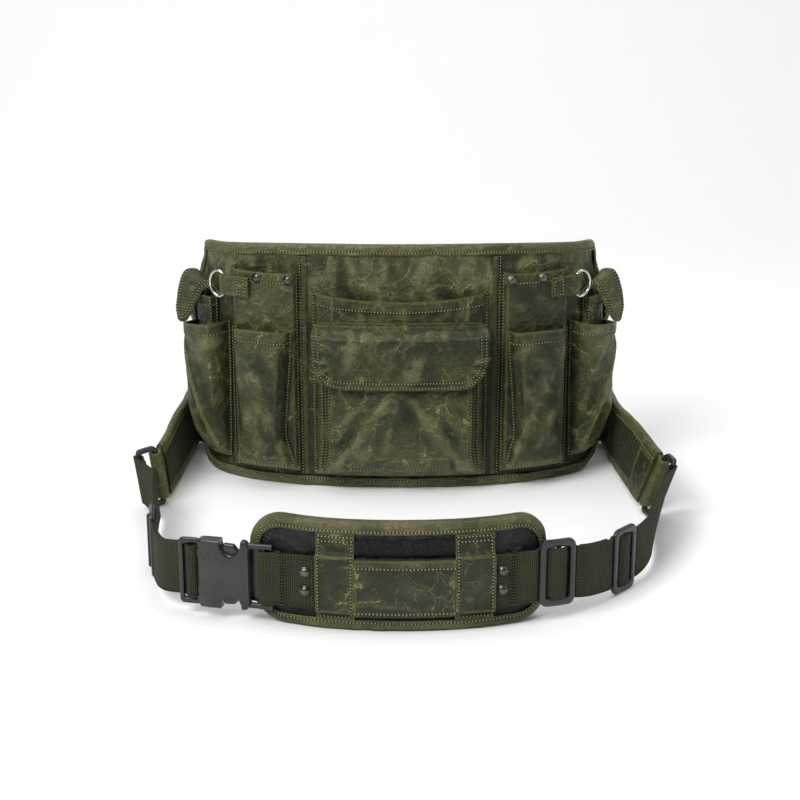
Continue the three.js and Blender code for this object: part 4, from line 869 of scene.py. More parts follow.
# %% Slabs
def slab(name, shape, spacing, back, front, place, relief, light_and_shade=lambda v: 0 * v):
    inset = BINDING_WALL + CHANNEL_SLACK
    corner = max(shape["low_corner"], shape["top_corner"])
    flat = shape["half"] - corner
    turned = flat + (corner - inset) * np.sin(np.linspace(0, math.pi / 2, 22))
    middle = np.linspace(-flat, flat, int(2 * flat / spacing))[1:-1]
    along = np.concatenate([-turned[::-1], middle, turned])
    low, high = edge_heights(shape, inset, along)
    share = np.linspace(0, 1, int(shape["tall"] / spacing))
    u = np.repeat(along[:, None], len(share), axis=1)
    v = low[:, None] + (high - low)[:, None] * share
    swell = relief(u, v)
    outer = place(u, v, front + swell)
    inner = place(u, v, back + swell * 0.4)
    piece = walled(name, outer, inner, np.stack([u, v], axis=-1) * MM)
    # Painted light: the relief's ridges get a painted highlight, its hollows painted shade, and the last
    # term paints light and shade by height.
    mark_crests(piece, swell / 0.8 + light_and_shade(v))
    return piece


# %% Edgings
def folded_faces(back, front):
    """The hidden and the shown face of an edging folded over a slab."""
    return back - FOLD_SLACK - BINDING_WALL, front + FOLD_SLACK + BINDING_WALL


def folded_section(back, front, nose=3.0, lip=0.4, standing=False):
    """A leather edging folded over a rim: deep into the piece, and out from its middle."""
    skin_back, skin_front = folded_faces(back, front)
    sunk_seam = [(7.2, 0), (SEAM_DEEP, 0.3), (6.0, 0)]
    turns = np.linspace(0, math.pi / 2, 6)
    section = [(BINDING_WIDE, front + FOLD_SLACK)]
    section += [(BINDING_WIDE + 0.1, skin_front - 0.5)] if standing else []
    section += [(BINDING_WIDE - lip, skin_front)]
    section += [(deep, skin_front - sunk) for deep, sunk in sunk_seam]
    section += [(nose + 0.6, skin_front)]
    section += [(nose * (1 - math.sin(a)), skin_front - nose * (1 - math.cos(a))) for a in turns]
    section += [(nose * (1 - math.sin(a)), skin_back + nose * (1 - math.cos(a))) for a in turns[::-1]]
    section += [] if standing else [(nose + 0.6, skin_back)]
    section += [(deep, skin_back + sunk) for deep, sunk in sunk_seam[::-1]]
    section += [(BINDING_WIDE - lip, skin_back), (BINDING_WIDE, back - FOLD_SLACK)]
    section += [(BINDING_WALL, back - FOLD_SLACK), (BINDING_WALL, front + FOLD_SLACK)]
    return np.array(section).T


def edging(name, shape, back, front, place, pucker, nose=3.0, seed=5):
    """Leather folded over a slab's whole rim, with a seam on each of its two faces."""
    walk, away = outline_points(shape, EDGING_STEP)
    deep, out = folded_section(back, front, nose, 0.5, True)
    run = np.arange(len(walk)) * EDGING_STEP
    wave = ripples(run[:, None], deep[None, :] * 2, seed, 46, 9) * pucker
    wave *= smooth_step(deep, -1, 2) * np.sign(out - (front + back) / 2)
    u = walk[:, 0:1] - away[:, 0:1] * deep
    v = walk[:, 1:2] - away[:, 1:2] * deep
    piece = swept(name, place(u, v, out + wave), closed=True)
    inside = walk - away * SEAM_DEEP
    for side, level in zip((1, -1), folded_faces(back, front)[::-1]):
        seam_wave = ripples(run, 2 * SEAM_DEEP, seed, 46, 9) * pucker * side
        seam = place(inside[:, 0], inside[:, 1], level - side * 0.1 + seam_wave)
        seams.append(np.concatenate([seam, seam[:1]]))
    return piece


panel_shape = shape_of(PANEL_HALF, PANEL_TALL, 36, 12, 14)
print("panel outline:", len(outline_points(panel_shape, EDGING_STEP)[0]), "steps")

# %% [markdown]
# ## The panel
# The panel hangs almost smooth behind its pockets. Only the strip above them shows, where the
# leather is drawn into soft puckers between the binding and the pockets' mouths.

# %% Panel and its binding
def panel_relief(u, v):
    upper = smooth_step(v, 150, 205) * (1 - smooth_step(v, 206, 213))
    soft = ripples(u, v, 11, 95, 34) * 0.28 + ripples(u, v * 0.5, 12, 26, 12) * 0.13
    drawn = ripples(u, v * 0.3, 13, 20, 11) * 0.35 * upper
    edge = smooth_step(v, 4, 16) * (1 - smooth_step(np.abs(u), 186, 196))
    return (soft + drawn) * edge - 0.15


def panel_light_and_shade(v):
    """Painted light: lighter in the strip above the pockets, painted shade behind and between them."""
    return 1.7 * smooth_step(v, 140, 178) - 0.9


panel = slab(
    "panel_leather", panel_shape, 1.9, -PANEL_THICK, 0, on_drawn_panel, panel_relief, panel_light_and_shade
)
dress(panel, leather, ["back_panel"])
panel_edge = edging("panel_edging", panel_shape, -PANEL_THICK, 0, on_drawn_panel, 0.55)
dress(panel_edge, edge_leather, ["panel_binding"])
print("panel:", len(panel.data.polygons), "faces; edging:", len(panel_edge.data.polygons))

# %% [markdown]
# ## Pockets
# A pocket is one sheet of leather, sewn to the panel down both sides and along its foot. Its cross
# section says how it stands off the panel, and its rows say how that changes from foot to mouth.
# Each pocket adds its own folds, because that is what tells one worn pocket from the next.

# %% Pocket sheets
POCKET_WALL, FINE = 1.6, 801


def section_of(*half):
    """A pocket's cross section from its right half, as shares of its width and depth."""
    return np.array([*((-x, y) for x, y in half[::-1]), (0, 1), *half], float)


box_section = section_of((0.55, 0.97), (0.85, 0.86), (0.91, 0.5), (0.95, 0), (1, 0))
flat_section = section_of((0.45, 1), (0.91, 0.98), (0.95, 0.72), (0.975, 0), (1, 0))
slack_section = section_of((0.3, 0.98), (0.64, 0.84), (0.84, 0.5), (0.94, 0), (1, 0))


def row_table(*rows):
    """Rows of a pocket, foot to mouth: height, inner edge, outer edge and depth as shares."""
    return table("at inner outer out", *rows)


def pocket_surface(size, section, rows, folds, mirror=1):
    """The flat shape of a pocket's outer face, as a function of across (-1 to 1) and up (0 to 1)."""
    fine = np.linspace(-1, 1, FINE)
    profile = blurred(np.interp(fine, section[:, 0], section[:, 1]), 9)
    level = np.linspace(0, 1, 401)
    columns = {
        name: blurred(np.interp(level, [r["at"] for r in rows], [r[name] for r in rows]), 7)
        for name in ("inner", "outer", "out")
    }
    wide = size["to"] - size["from"]
    seat = size["seat"] + SEAM

    def flat(s, t):
        s, t = as_arrays(s, t)
        edge = {name: np.interp(t, level, values) for name, values in columns.items()}
        dip = size["dip"] * (1 - s * s)
        corner = size.get("corner", 0) * s**4 * (1 - t)
        rise, slope = size.get("lean", (0, 0))
        mouth = size["mouth"] - dip + rise + slope * s
        u = size["from"] + wide * (edge["inner"] + (edge["outer"] - edge["inner"]) * (s + 1) / 2)
        v = size["foot"] - corner + (mouth - size["foot"] + corner) * t
        stand = edge["out"] * np.interp(s, fine, profile)
        hem = mouth - size["hem"]
        band = smooth_step(v, hem - 0.6, hem + 0.6)
        w = seat + POCKET_WALL + (size["deep"] - POCKET_WALL) * stand
        sewn = smooth_step(stand, 0.02, 0.35)
        w = w + folds(u, v) * sewn * (1 - 0.6 * band) + 0.6 * band * sewn
        return np.stack([mirror * u, v, w], axis=-1), seat

    return flat


# %% A pocket from its surface
POCKET_STEP = 1.5


def leather_sheet(name, nodes, outer, inner, flat, crest=None):
    """A walled sheet whose cut rim shows the lighter inside of the leather."""
    piece = walled(name, outer, inner, flat * MM, sharp=50, rim_slot=1)
    if crest is not None:
        mark_crests(piece, crest)
    return dress(piece, [leather, edge_leather], nodes)


def pocket_crest(size, grid, s, t, rise):
    """Rubbed foot, painted light on folds, painted shade in gussets and under the flap, a painted lift."""
    foot = 1 - smooth_step(t * (size["mouth"] - size["foot"]), 2.5, 7.0)
    # Painted shade in the gussets, and a painted shadow where the flap hangs over the pocket.
    gusset_shade = size.get("gusset_shade", 0) * np.exp(-(((np.abs(s) - 0.93) / 0.04) ** 2))
    under = size.get("under", 0)
    shade = 0.9 * smooth_step(grid[..., 1], under - 12, under - 3) if under else 0
    # The last value lifts whole pockets: painted light that makes some pockets lighter than others.
    return rise + foot + size.get("wear_and_light", 0.12) - gusset_shade - shade


def pocket(name, nodes, size, section, rows, folds, mirror=1):
    flat = pocket_surface(size, section, rows, folds, mirror)
    cols = max(40, int((size["to"] - size["from"]) / POCKET_STEP * 1.25))
    lines = int((size["mouth"] - size["foot"]) / POCKET_STEP)
    # Columns crowd towards both sides, where the section turns
    even = np.linspace(-1, 1, cols)
    s = even + 0.12 * np.sin(even * math.pi)
    s = np.clip(s / np.abs(s).max(), -1, 1)
    t = np.linspace(0, 1, lines)[:, None]
    grid, seat = flat(s[None, :], t)
    inner = wall_behind(grid, POCKET_WALL, seat)
    opened = np.stack([grid[..., 0] + grid[..., 2], grid[..., 1]], axis=-1)
    # Fold ridges get a painted highlight and fold hollows painted shade.
    rise = folds(grid[..., 0] * mirror, grid[..., 1]) / 1.9
    crest = pocket_crest(size, grid, s, t, rise)
    leather_sheet(name, nodes, placed(grid), placed(inner), opened, crest)

    def surface(s, t):
        return placed(flat(s, t)[0])

    return surface


# %% Seams of a pocket
def mouth_seam(surface, size, drop=10.2, reach=0.97):
    share = drop / (size["mouth"] - size["foot"])
    sew(surface, [(-reach, 1 - share), (0, 1 - share), (reach, 1 - share)])


def side_seams(surface, at, low=0.02, high=0.985):
    for s in at:
        sew(surface, [(s, low), (s, high)])


# %% [markdown]
# ### The two middle pockets
# A long flat pocket hangs at the middle, and a bagging one is sewn on it below the flap. Both are
# one recipe with other numbers: sizes in millimetres, a section, rows and folds of their own.

# %% The long middle pocket
centre_size = {
    "from": -75, "to": 75, "seat": 0, "deep": 9, "foot": 12, "mouth": 180, "dip": 7, "hem": 9.5
}
centre_rows = row_table((0, 0, 1, 0), (0.05, 0, 1, 0.94), (0.7, 0, 1, 1), (1, 0, 1, 1))


def centre_folds(u, v):
    pleats = sum(fold(u, v, (at, 184), (at, 150), 1.3, 1.1) for at in (-57, 57))
    below_hem = (1 - smooth_step(v, 166, 172)) * smooth_step(v, 145, 160)
    drawn = ripples(u, v * 0.25, 31, 22, 10) * 0.8 * below_hem
    return pleats + drawn + ripples(u, v, 32, 80, 25) * 0.22


centre = pocket(
    "centre_pocket", ["tool_pocket_centre"], centre_size, flat_section, centre_rows, centre_folds
)
mouth_seam(centre, centre_size, 9.6, 0.985)
side_seams(centre, (-0.987, 0.987))

# %% The flap pocket
# It bags over its foot: two corners pouch out and the gathered middle is pulled in by its hem.
# The gusset value paints shade into the gussets, the under value paints the flap's shadow from just below
# the flap's foot upwards, and a lift of zero leaves this pocket darker.
flap_size = {
    "from": -69, "to": 69, "seat": 9.3, "deep": 18, "foot": 20, "mouth": 143, "dip": 1,
    "corner": 4, "hem": 8, "gusset_shade": 1, "under": 101, "wear_and_light": 0
}
flap_rows = row_table(
    (0, 0, 1, 0.06), (0.025, 0, 1, 0.55), (0.08, 0, 1, 0.74), (0.2, 0.015, 0.985, 0.9),
    (0.45, 0.015, 0.985, 1), (0.8, 0.01, 0.99, 0.86), (1, 0, 1, 0.68)
)


def flap_pocket_folds(u, v):
    total = ripples(u, v, 41, 48, 16) * 0.8
    for side in (-1, 1):
        total = add_folds(
            total, u * side, v, ((8, 92), (50, 30), 4.5, 2.6), ((20, 96), (60, 56), 4, 1.6),
            ((30, 84), (58, 22), 3.4, -1.9), ((46, 44), (60, 20), 5, 2.4),
            ((43, 36), (46, 19), 2.2, -2.2), ((56, 88), (63, 50), 3, 1.3)
        )
    total = add_folds(total, u, v, ((-2, 90), (-14, 40), 4, 1.6), ((4, 88), (26, 44), 5, -1.3))
    pulled = smooth_step(np.abs(u), 48, 38) * (1 - smooth_step(v, 20, 30))
    return total - 1.4 * pulled


flap_pocket = pocket(
    "flapped_pocket", ["flap_pocket"], flap_size, box_section, flap_rows, flap_pocket_folds
)
for s in (0.875, 0.925):
    side_seams(flap_pocket, (-s, s), 0.06, 0.97)
side_seams(flap_pocket, (-0.98, 0.98), 0.03, 0.97)
sew(flap_pocket, [(-0.66, 0.035), (0, 0.035), (0.66, 0.035)])
print("seams so far:", len(seams))

# %% [markdown]
# ## Side pockets
# Left and right are mirror images of one pattern, as they were cut, so each pocket is written once
# for the right side. Their ripples differ by a seed, because leather never creases twice alike.

# %% Sizes of the side pockets
tall_size = {
    "from": 88, "to": 146, "seat": 0, "deep": 8.5, "foot": 14, "mouth": 196, "dip": 1, "hem": 7.5
}
tall_rows = row_table((0, 0, 1, 0), (0.05, 0, 1, 0.92), (0.55, 0, 1, 0.96), (1, 0, 1, 1))
# The gusset value paints shade into the gussets, and the last value paints the whole pocket lighter, as if
# more light fell on it.
front_size = {
    "from": 91.5, "to": 142.5, "seat": 8.8, "deep": 17, "foot": 20, "mouth": 144.5, "dip": -2,
    "corner": 2, "hem": 9, "gusset_shade": 1.2, "wear_and_light": 0.35
}
front_rows = row_table(
    (0, 0, 1, 0.1), (0.025, -0.01, 1.01, 0.6), (0.07, 0, 1, 0.76), (0.24, 0.12, 0.87, 1),
    (0.55, 0.07, 0.94, 0.96), (0.85, 0.01, 1, 0.8), (1, 0, 1, 0.72)
)
# Painted shade in its gussets, and a painted lift as for the front pocket.
side_size = {
    "from": 152, "to": 195.9, "seat": 0, "deep": 24, "foot": 20, "mouth": 143, "dip": -1.5,
    "corner": 1, "hem": 8.5, "lean": (-1.75, -4.25), "gusset_shade": 0.9, "wear_and_light": 0.3
}
side_rows = row_table(
    (0, 0.06, 0.57, 0.12), (0.06, 0.05, 0.71, 0.5), (0.17, 0.03, 0.94, 0.72), (0.35, 0.02, 0.99, 0.88),
    (0.7, 0, 1, 0.96), (1, 0, 1, 1)
)
sheath_size = {
    "from": 166, "to": 187, "seat": 0, "deep": 9, "foot": 40, "mouth": 166, "dip": 0, "hem": 7
}

# %% Side pockets, left and right
LINING_SEAMS = (147.6, 150.4)


def side_pocket(kind, mirror, size, section, rows, folds, stands_for=None):
    side = "left" if mirror < 0 else "right"
    nodes = [(stands_for or kind) + "_" + side]
    return pocket(kind + "_sheet_" + side, nodes, size, section, rows, folds, mirror)


for mirror, seed in ((-1, 50), (1, 70)):

    def tall_folds(u, v, seed=seed):
        return ripples(u, v, seed, 60, 22) * 0.4

    def front_folds(u, v, seed=seed):
        return add_folds(
            ripples(u, v, seed + 1, 50, 18) * 0.6, u, v, ((118, 104), (107, 58), 5, 1.7),
            ((127, 74), (112, 34), 4, 1.3), ((99, 46), (93, 18), 3.4, 2.2),
            ((135, 48), (140, 18), 3.4, 2.3), ((100, 34), (134, 31), 4, -0.9),
            ((97, 132), (101, 60), 2.6, -1.4), ((137, 126), (133, 66), 2.6, 1.0)
        )

    def side_folds(u, v, seed=seed):
        crease = fold(u, v, (188, 124), (158, 22), 2.0, 2.4, 0.08)
        hollow = fold(u, v, (176, 122), (156, 40), 5, -1.8) + fold(u, v, (186, 70), (172, 30), 4, 1.2)
        return crease + hollow + ripples(u, v, seed + 2, 44, 16) * 0.6

    tall = side_pocket("tall_pocket", mirror, tall_size, flat_section, tall_rows, tall_folds)
    mouth_seam(tall, tall_size, 8.6)
    side_seams(tall, (-0.982, 0.982))
    front = side_pocket("front_pocket", mirror, front_size, slack_section, front_rows, front_folds)
    mouth_seam(front, front_size)
    side_seams(front, (-0.965, 0.965), 0.03, 0.97)
    sew(front, [(-0.9, 0.03), (0, 0.03), (0.9, 0.03)])
    end = side_pocket("side_pocket", mirror, side_size, slack_section, side_rows, side_folds)
    mouth_seam(end, side_size, 9.4)
    side_seams(end, (-0.965,), 0.03, 0.97)
    sheath = side_pocket(
        "sheath", mirror, sheath_size, box_section, tall_rows, tall_folds, "side_sheath"
    )
    mouth_seam(sheath, sheath_size, 8.5)
    side_seams(sheath, (-0.98, -0.86), 0.5, 0.99)
    # Two rows hold the ends of the panel's lining between the pockets
    for along in LINING_SEAMS:
        sew(lambda a, b: on_panel(a, b, 0.3), [(mirror * along, 13), (mirror * along, 140)], 2.0)
print("pockets are sewn on, seams so far:", len(seams))

# %% [markdown]
# ## The flap
# The flap is the piece that the eye meets first. It could be one flat sheet with a bend, but real
# leather keeps the memory of its fold, so the sheet swells just below the hinge, and its two round
# corners are drawn into small fans of creases by their double row of stitches.

# %% Centre flap
FLAP_HALF, FLAP_FOOT, FLAP_HINGE, FLAP_CORNER, FLAP_WALL = 72.5, 101, 150, 26, 2.4
FLAP_ROOT, FLAP_FRONT = 9.6, 28.8
flap_fall = [(-0.1, 0), (-0.03, 0), (0, 0.4), (0.09, 0.86), (0.3, 0.96), (0.6, 1), (1, 1), (1.1, 1)]
flap_down = np.linspace(-0.1, 1.1, 481)
flap_out = blurred(np.interp(flap_down, *np.array(flap_fall).T), 7)
CREASE_TURNS = np.radians([-8, 14, 33, 52, 72, 92])
CREASE_HIGHS = (0.9, -0.7, 1.0, -0.7, 0.9, -0.6)


def flap_creases(u, v):
    x = np.abs(u)
    total = ripples(u, v, 90, 60, 20) * 0.55 * (1 - smooth_step(v, 140, 152))
    for k, (turn, high) in enumerate(zip(CREASE_TURNS, CREASE_HIGHS)):
        start, end = ((52 + far * math.cos(turn), 123 - far * math.sin(turn)) for far in (7, 23))
        total = total + fold(x + 0.8 * np.sign(u) * math.sin(k * 2), v, start, end, 1.9, high)
    total = add_folds(total, u, v, ((-40, 106), (30, 102.5), 2.2, 0.5), ((10, 112), (52, 108), 3, 0.45))
    drawn = ripples(u, v * 0.2, 91, 17, 8) * 0.4 * fold(u, v, (-80, 146), (80, 146), 4.5, 1.0, 0.05)
    return total + drawn


def flap_flat(u, v):
    u, v = as_arrays(u, v)
    down = (FLAP_HINGE - v) / (FLAP_HINGE - FLAP_FOOT)
    droop = 1 - 0.25 * np.clip(np.abs(u) / FLAP_HALF, 0, 1.2) ** 6
    stand = np.interp(down, flap_down, flap_out)
    free = smooth_step(down, -0.02, 0.12)
    out = FLAP_ROOT + FLAP_WALL + (FLAP_FRONT - FLAP_ROOT) * stand * droop + flap_creases(u, v) * free
    curl = 1.2 * smooth_step(np.abs(u), 62, 76) * smooth_step(v, 152, 140)
    return np.stack([u, v, out - curl], axis=-1)


def laid_flat(grid):
    """A hanging sheet's points as they lay before it was bent, so its grain isn't stretched."""
    return np.stack([grid[..., 0], grid[..., 1] + grid[..., 2]], axis=-1)


# %% The flap's sheet and its two rows of stitches
def centre_flap():
    flat = FLAP_HALF - FLAP_CORNER
    turned = flat + FLAP_CORNER * np.sin(np.linspace(0, math.pi / 2, 22))
    middle = np.linspace(-flat, flat, 72)[1:-1]
    u = np.concatenate([-turned[::-1], middle, turned])
    past = np.maximum(0, np.abs(u) - flat)
    foot = FLAP_FOOT + FLAP_CORNER - np.sqrt(np.maximum(0, FLAP_CORNER**2 - past**2))
    share = np.concatenate([np.linspace(-0.1, 0.14, 22), np.linspace(0.14, 1, 36)[1:]])
    v = FLAP_HINGE + (foot[None, :] - FLAP_HINGE) * share[:, None]
    grid = flap_flat(u[None, :], v)
    inner = wall_behind(grid, FLAP_WALL, FLAP_ROOT)
    # Painted highlight on crease ridges and painted shade in their valleys, and a paler line along the hinge
    # fold.
    fold_line = 0.45 * (1 - smooth_step(np.abs(grid[..., 1] - 148.5), 0.5, 4))
    crest = flap_creases(grid[..., 0], grid[..., 1]) / 1.1 + fold_line
    leather_sheet("flap_leather", ["centre_flap"], placed(grid), placed(inner), laid_flat(grid), crest)
    for inset in (2.3, 6.4):
        radius, rise = FLAP_CORNER - inset, FLAP_FOOT + FLAP_CORNER
        turns = np.linspace(0, math.pi / 2, 16)
        corner = [(flat + radius * math.cos(a), rise - radius * math.sin(a)) for a in turns]
        path = [(FLAP_HALF - inset, FLAP_HINGE - 4), *corner]
        path += [(-u, v) for u, v in reversed(path)]
        sew(lambda u, v: placed(flap_flat(u, v)), path, 1.0)


centre_flap()
print("flap is made, seams so far:", len(seams))

# %% [markdown]
# ## Small flaps at both ends
# Each small flap rises from the panel, arches over the narrow pocket and hangs outside it. Its
# profile is drawn once from the side, smoothed, and widened into a tongue with a round tip.

# %% Side flaps
along_flap = np.linspace(0, 1, 201)


def flap_edge(*rows):
    """Smooth columns along, out and up of one edge; each row starts with its place from 0 to 1."""
    at, *columns = np.array(rows, float).T
    return [blurred(np.interp(along_flap, at, column), 7) for column in columns]


near_edge = flap_edge(
    (0, 158, 0, 167), (0.1, 162, 0.3, 171), (0.2, 166.5, 2.5, 174), (0.3, 170, 5, 174.5),
    (0.42, 173.5, 8.5, 171), (0.58, 176, 12.5, 162.5), (0.78, 178.5, 16.5, 151), (1, 183.5, 20, 139.5)
)
far_edge = flap_edge(
    (0, 198, 0, 178), (0.1, 197, 2.5, 183), (0.2, 196, 7, 185), (0.3, 195, 11.5, 184),
    (0.42, 195, 15, 178.5), (0.58, 196, 18, 167), (0.78, 196, 20.2, 153), (1, 192, 20.8, 142)
)


# %% One small flap
def side_flap(mirror, side):
    def flat(s, q):
        s, q = as_arrays(s, q)
        at = q * (1 - 0.09 * (1 - np.sqrt(np.maximum(1 - 0.96 * s * s, 0))))
        a = (s + 1) / 2
        u, out, v = (
            np.interp(at, along_flap, near) * (1 - a) + np.interp(at, along_flap, far) * a
            for near, far in zip(near_edge, far_edge)
        )
        swell = 1.8 * (1 - s * s) * smooth_step(at, 0.12, 0.4)
        v = v + 3.6 * (1 - s * s) * smooth_step(at, 0.06, 0.22) * (1 - smooth_step(at, 0.35, 0.6))
        buckled = ripples(u + 90 * mirror, v + out, 95, 30, 12) * 0.4 * smooth_step(at, 0.1, 0.3)
        out = out + SEAM + FLAP_WALL + swell + buckled
        return np.stack([mirror * u, v, out], axis=-1)

    def place(p):
        rooted = (1 - smooth_step(p[..., 2], 3, 13))[..., None]
        here = placed(p)
        return here + (placed(p, on_drawn_panel) - here) * rooted

    across = np.sin(np.linspace(-math.pi / 2, math.pi / 2, 30))
    grid = flat(across[None, :], np.linspace(0, 1, 60)[:, None])
    inner = wall_behind(grid, FLAP_WALL, SEAM, one_way=True)
    nodes = ["side_flap_" + side]
    leather_sheet("small_flap_" + side, nodes, place(grid), place(inner), laid_flat(grid))
    for inset, tip in ((0.8, 0.93), (0.58, 0.88)):
        turns = np.linspace(0, math.pi / 2, 7)
        corner = [(inset * math.cos(a), tip - 0.09 + 0.09 * math.sin(a)) for a in turns]
        path = [(inset, 0.12), *corner]
        path += [(-a, b) for a, b in reversed(path)]
        sew(lambda s, q: place(flat(s, q)), path, 0.02)


for mirror, side in ((-1, "left"), (1, "right")):
    side_flap(mirror, side)
print("small flaps are sewn, seams so far:", len(seams))

# %% [markdown]
# ## Ribbons and bars
# Webbing, tabs and the soft wings are one thing in different sizes: a band that is folded in plan
# and stands upright. A ribbon sweeps a rounded section along its line. Straps are stitched where
# they come back on themselves.

# %% Ribbons
def level(height):
    """The same height all along a ribbon."""
    return lambda along: np.full(len(along), height)


def smoothed_line(points, spacing, spread):
    """A polyline with rounded corners at even steps; its two ends stay where they are."""
    fine = even_line(points, spacing / 4)
    soft = np.stack([blurred(fine[:, k], spread * 4 / spacing) for k in range(2)], axis=1)
    run = np.arange(len(fine)) / (len(fine) - 1)
    reach = spread * 3.2 / (spacing / 4) / len(fine)
    hold = (smooth_step(run, 0, reach) * (1 - smooth_step(run, 1 - reach, 1)))[:, None]
    return even_line(fine * (1 - hold) + soft * hold, spacing)


def band_section(thick, rounding, rows):
    """A tall rounded section: across, share of its height, and what the rounding adds to it."""
    turns = np.linspace(0, math.pi / 2, 4)
    reach = thick / 2 - rounding + rounding * np.cos(turns)
    drop = rounding * (np.sin(turns) - 1)
    levels = np.linspace(0, 1, rows)[1:-1]
    section = []
    for side in (1, -1):
        section += [(side * thick / 2, share, 0) for share in levels[::side]]
        section += [(side * x, (1 + side) / 2, side * y) for x, y in zip(reach, drop)]
        section += [(-side * x, (1 + side) / 2, side * y) for x, y in zip(reach[::-1], drop[::-1])]
    return np.array(section, float).T


def ribbon(name, line, thick, low, high, place, rounding=0.7, rows=20, ruffle=None):
    """A band that stands on its line of (along, out) points, from low to high at each point."""
    side = -square_to(np.gradient(line, axis=0))
    across, share, extra = band_section(thick, rounding, rows)
    bottom = np.asarray(low(line[:, 0]), float)[:, None]
    top = np.asarray(high(line[:, 0]), float)[:, None]
    up = bottom + (top - bottom) * share + extra
    run = np.arange(len(line))[:, None] * np.linalg.norm(line[1] - line[0])
    wave = 0 if ruffle is None else ruffle(run, up)
    along = line[:, 0:1] + side[:, 0:1] * (across + wave)
    out = line[:, 1:2] + side[:, 1:2] * (across + wave)
    return swept(name, place(along, up, out), sharp=50)


# %% Lines round a bar
def beside_bar(bar, onward, angle, points):
    """Points given beside a bar, turned by an angle and carried onto the line that it stands on."""
    points = np.asarray(points, float)
    c, s = math.cos(angle), math.sin(angle)
    along = bar[0] + onward * (points[:, 0] * c - points[:, 1] * s)
    return np.stack([along, bar[1] + points[:, 0] * s + points[:, 1] * c], axis=1)


def eye_line(bar, thick, neck, tail, tail_side):
    """In along x to a bar at the origin, round it, and back into a tail beside itself."""
    radius = bar + thick / 2
    layer = (thick + SEAM) / 2 + 0.1
    points = [(neck, -tail_side * layer)]
    for turn in np.linspace(0.38, 1.62, 24) * math.pi:
        points.append((radius * math.cos(turn), -tail_side * radius * math.sin(turn)))
    points += [(min(neck, tail - 1), tail_side * layer), (tail, tail_side * layer)]
    return np.array(points), layer


# %% [markdown]
# ## Welts, tabs and rings
# A welt is a thin rolled strip over each seam beside the middle. Beyond it hangs a nickel ring on
# a leather tab. The ring could be a curve with a round bevel, but a round section swept along a
# closed walk makes it a plain mesh from the start, like every other piece here.

# %% Welts
WELT_AT = 82


def welt(side_sign, side):
    rows = np.linspace(11, 210, 110)
    turns = np.linspace(0, math.pi, 9)
    rolled = [(-1.9 * math.cos(a), 0.5 + 1.3 * math.sin(a) ** 0.6) for a in turns]
    across, out = np.array([(-2.5, 0.3), *rolled, (2.5, 0.3)]).T
    wander = ripples(rows, 0 * rows, 21 + side_sign, 90, 30) * 0.25
    points = on_panel(side_sign * WELT_AT + wander[:, None] + across, rows[:, None], out)
    piece = swept("welt_" + side, points, sharp=60)
    # The whole welt gets painted shade, so it reads as the shadowed groove between two pieces.
    write_crest(piece, np.full(len(piece.data.vertices), -1))
    dress(piece, leather, ["seam_welt_" + side])
    beside = side_sign * (WELT_AT + 3.9)
    sew(lambda a, b: on_panel(a, b, 0.25), [(beside, 12), (beside, 209)], 2.0)


# %% Ring tabs
TAB_BAR, TAB_MIDDLE, TAB_OUT, TAB_TALL, TAB_THICK = 151, 181, 10.85, 17.5, 1.5
RING_WIRE = 2.4


def ring_tab(side_sign, side):
    points, layer = eye_line(RING_WIRE / 2 + 0.4, TAB_THICK, RING_WIRE / 2 + 8.4, 23, 1)
    points = np.concatenate([[(23, -layer)], points])
    line = smoothed_line(beside_bar((side_sign * TAB_BAR, TAB_OUT), -side_sign, 0, points), 0.8, 0.5)
    low, high = level(TAB_MIDDLE - TAB_TALL / 2), level(TAB_MIDDLE + TAB_TALL / 2)
    piece = ribbon("ring_tab_leather_" + side, line, TAB_THICK, low, high, on_panel, 0.5, 14)
    dress(piece, leather, ["ring_tab_" + side])
    front = TAB_OUT + layer + 0.85
    path = [(-13.5, -6.6), (-21, -6.6), (-21, 6.6), (-13.5, 6.6), (-13.5, -6.6)]
    path = even_line([(side_sign * (TAB_BAR + a), TAB_MIDDLE + b) for a, b in path], 0.8)
    seams.append(on_panel(path[:, 0], path[:, 1], front))


# %% Rings of bent wire
RING_OPENING = 21


def d_ring(side_sign, side):
    half = RING_OPENING / 2 + RING_WIRE / 2
    turns = np.linspace(math.pi / 2, -math.pi / 2, 44)
    walk = [(0, v) for v in np.linspace(-half + 2.5, half - 2.5, 24)]
    walk += [(4 + 10 * math.cos(a), half * math.sin(a)) for a in turns]
    walk = even_line([*walk, walk[0]], 0.4)[:-1]
    # Three rounds are smoothed and the middle one is kept, so the ring has no seam
    rounds = np.tile(walk, (3, 1))
    soft = np.stack([np.convolve(rounds[:, k], np.ones(7) / 7, "same") for k in range(2)], axis=1)
    walk = soft[len(walk) : 2 * len(walk)][::2]
    away = square_to(ring_steps(walk))
    turns = np.linspace(0, math.tau, 15)[:-1]
    flat, off = RING_WIRE / 2 * np.cos(turns), RING_WIRE / 2 * np.sin(turns)
    point, turn = plan_turn(side_sign * TAB_BAR)
    reach = side_sign * (walk[:, 0:1] + away[:, 0:1] * flat)
    x = point[0] + math.sin(turn) * (TAB_OUT + off) + math.cos(turn) * reach
    y = point[1] - math.cos(turn) * (TAB_OUT + off) + math.sin(turn) * reach
    z = TAB_MIDDLE + walk[:, 1:2] + away[:, 1:2] * flat
    points = np.stack(np.broadcast_arrays(x, y, z), axis=-1) * MM + shift
    piece = swept("ring_wire_" + side, points, closed=True, sharp=60)
    dress(piece, nickel_look, ["d_ring_" + side], "ring_" + side)


for side_sign, side in ((-1, "left"), (1, "right")):
    welt(side_sign, side)
    ring_tab(side_sign, side)
    d_ring(side_sign, side)
print("rings hang in their tabs")

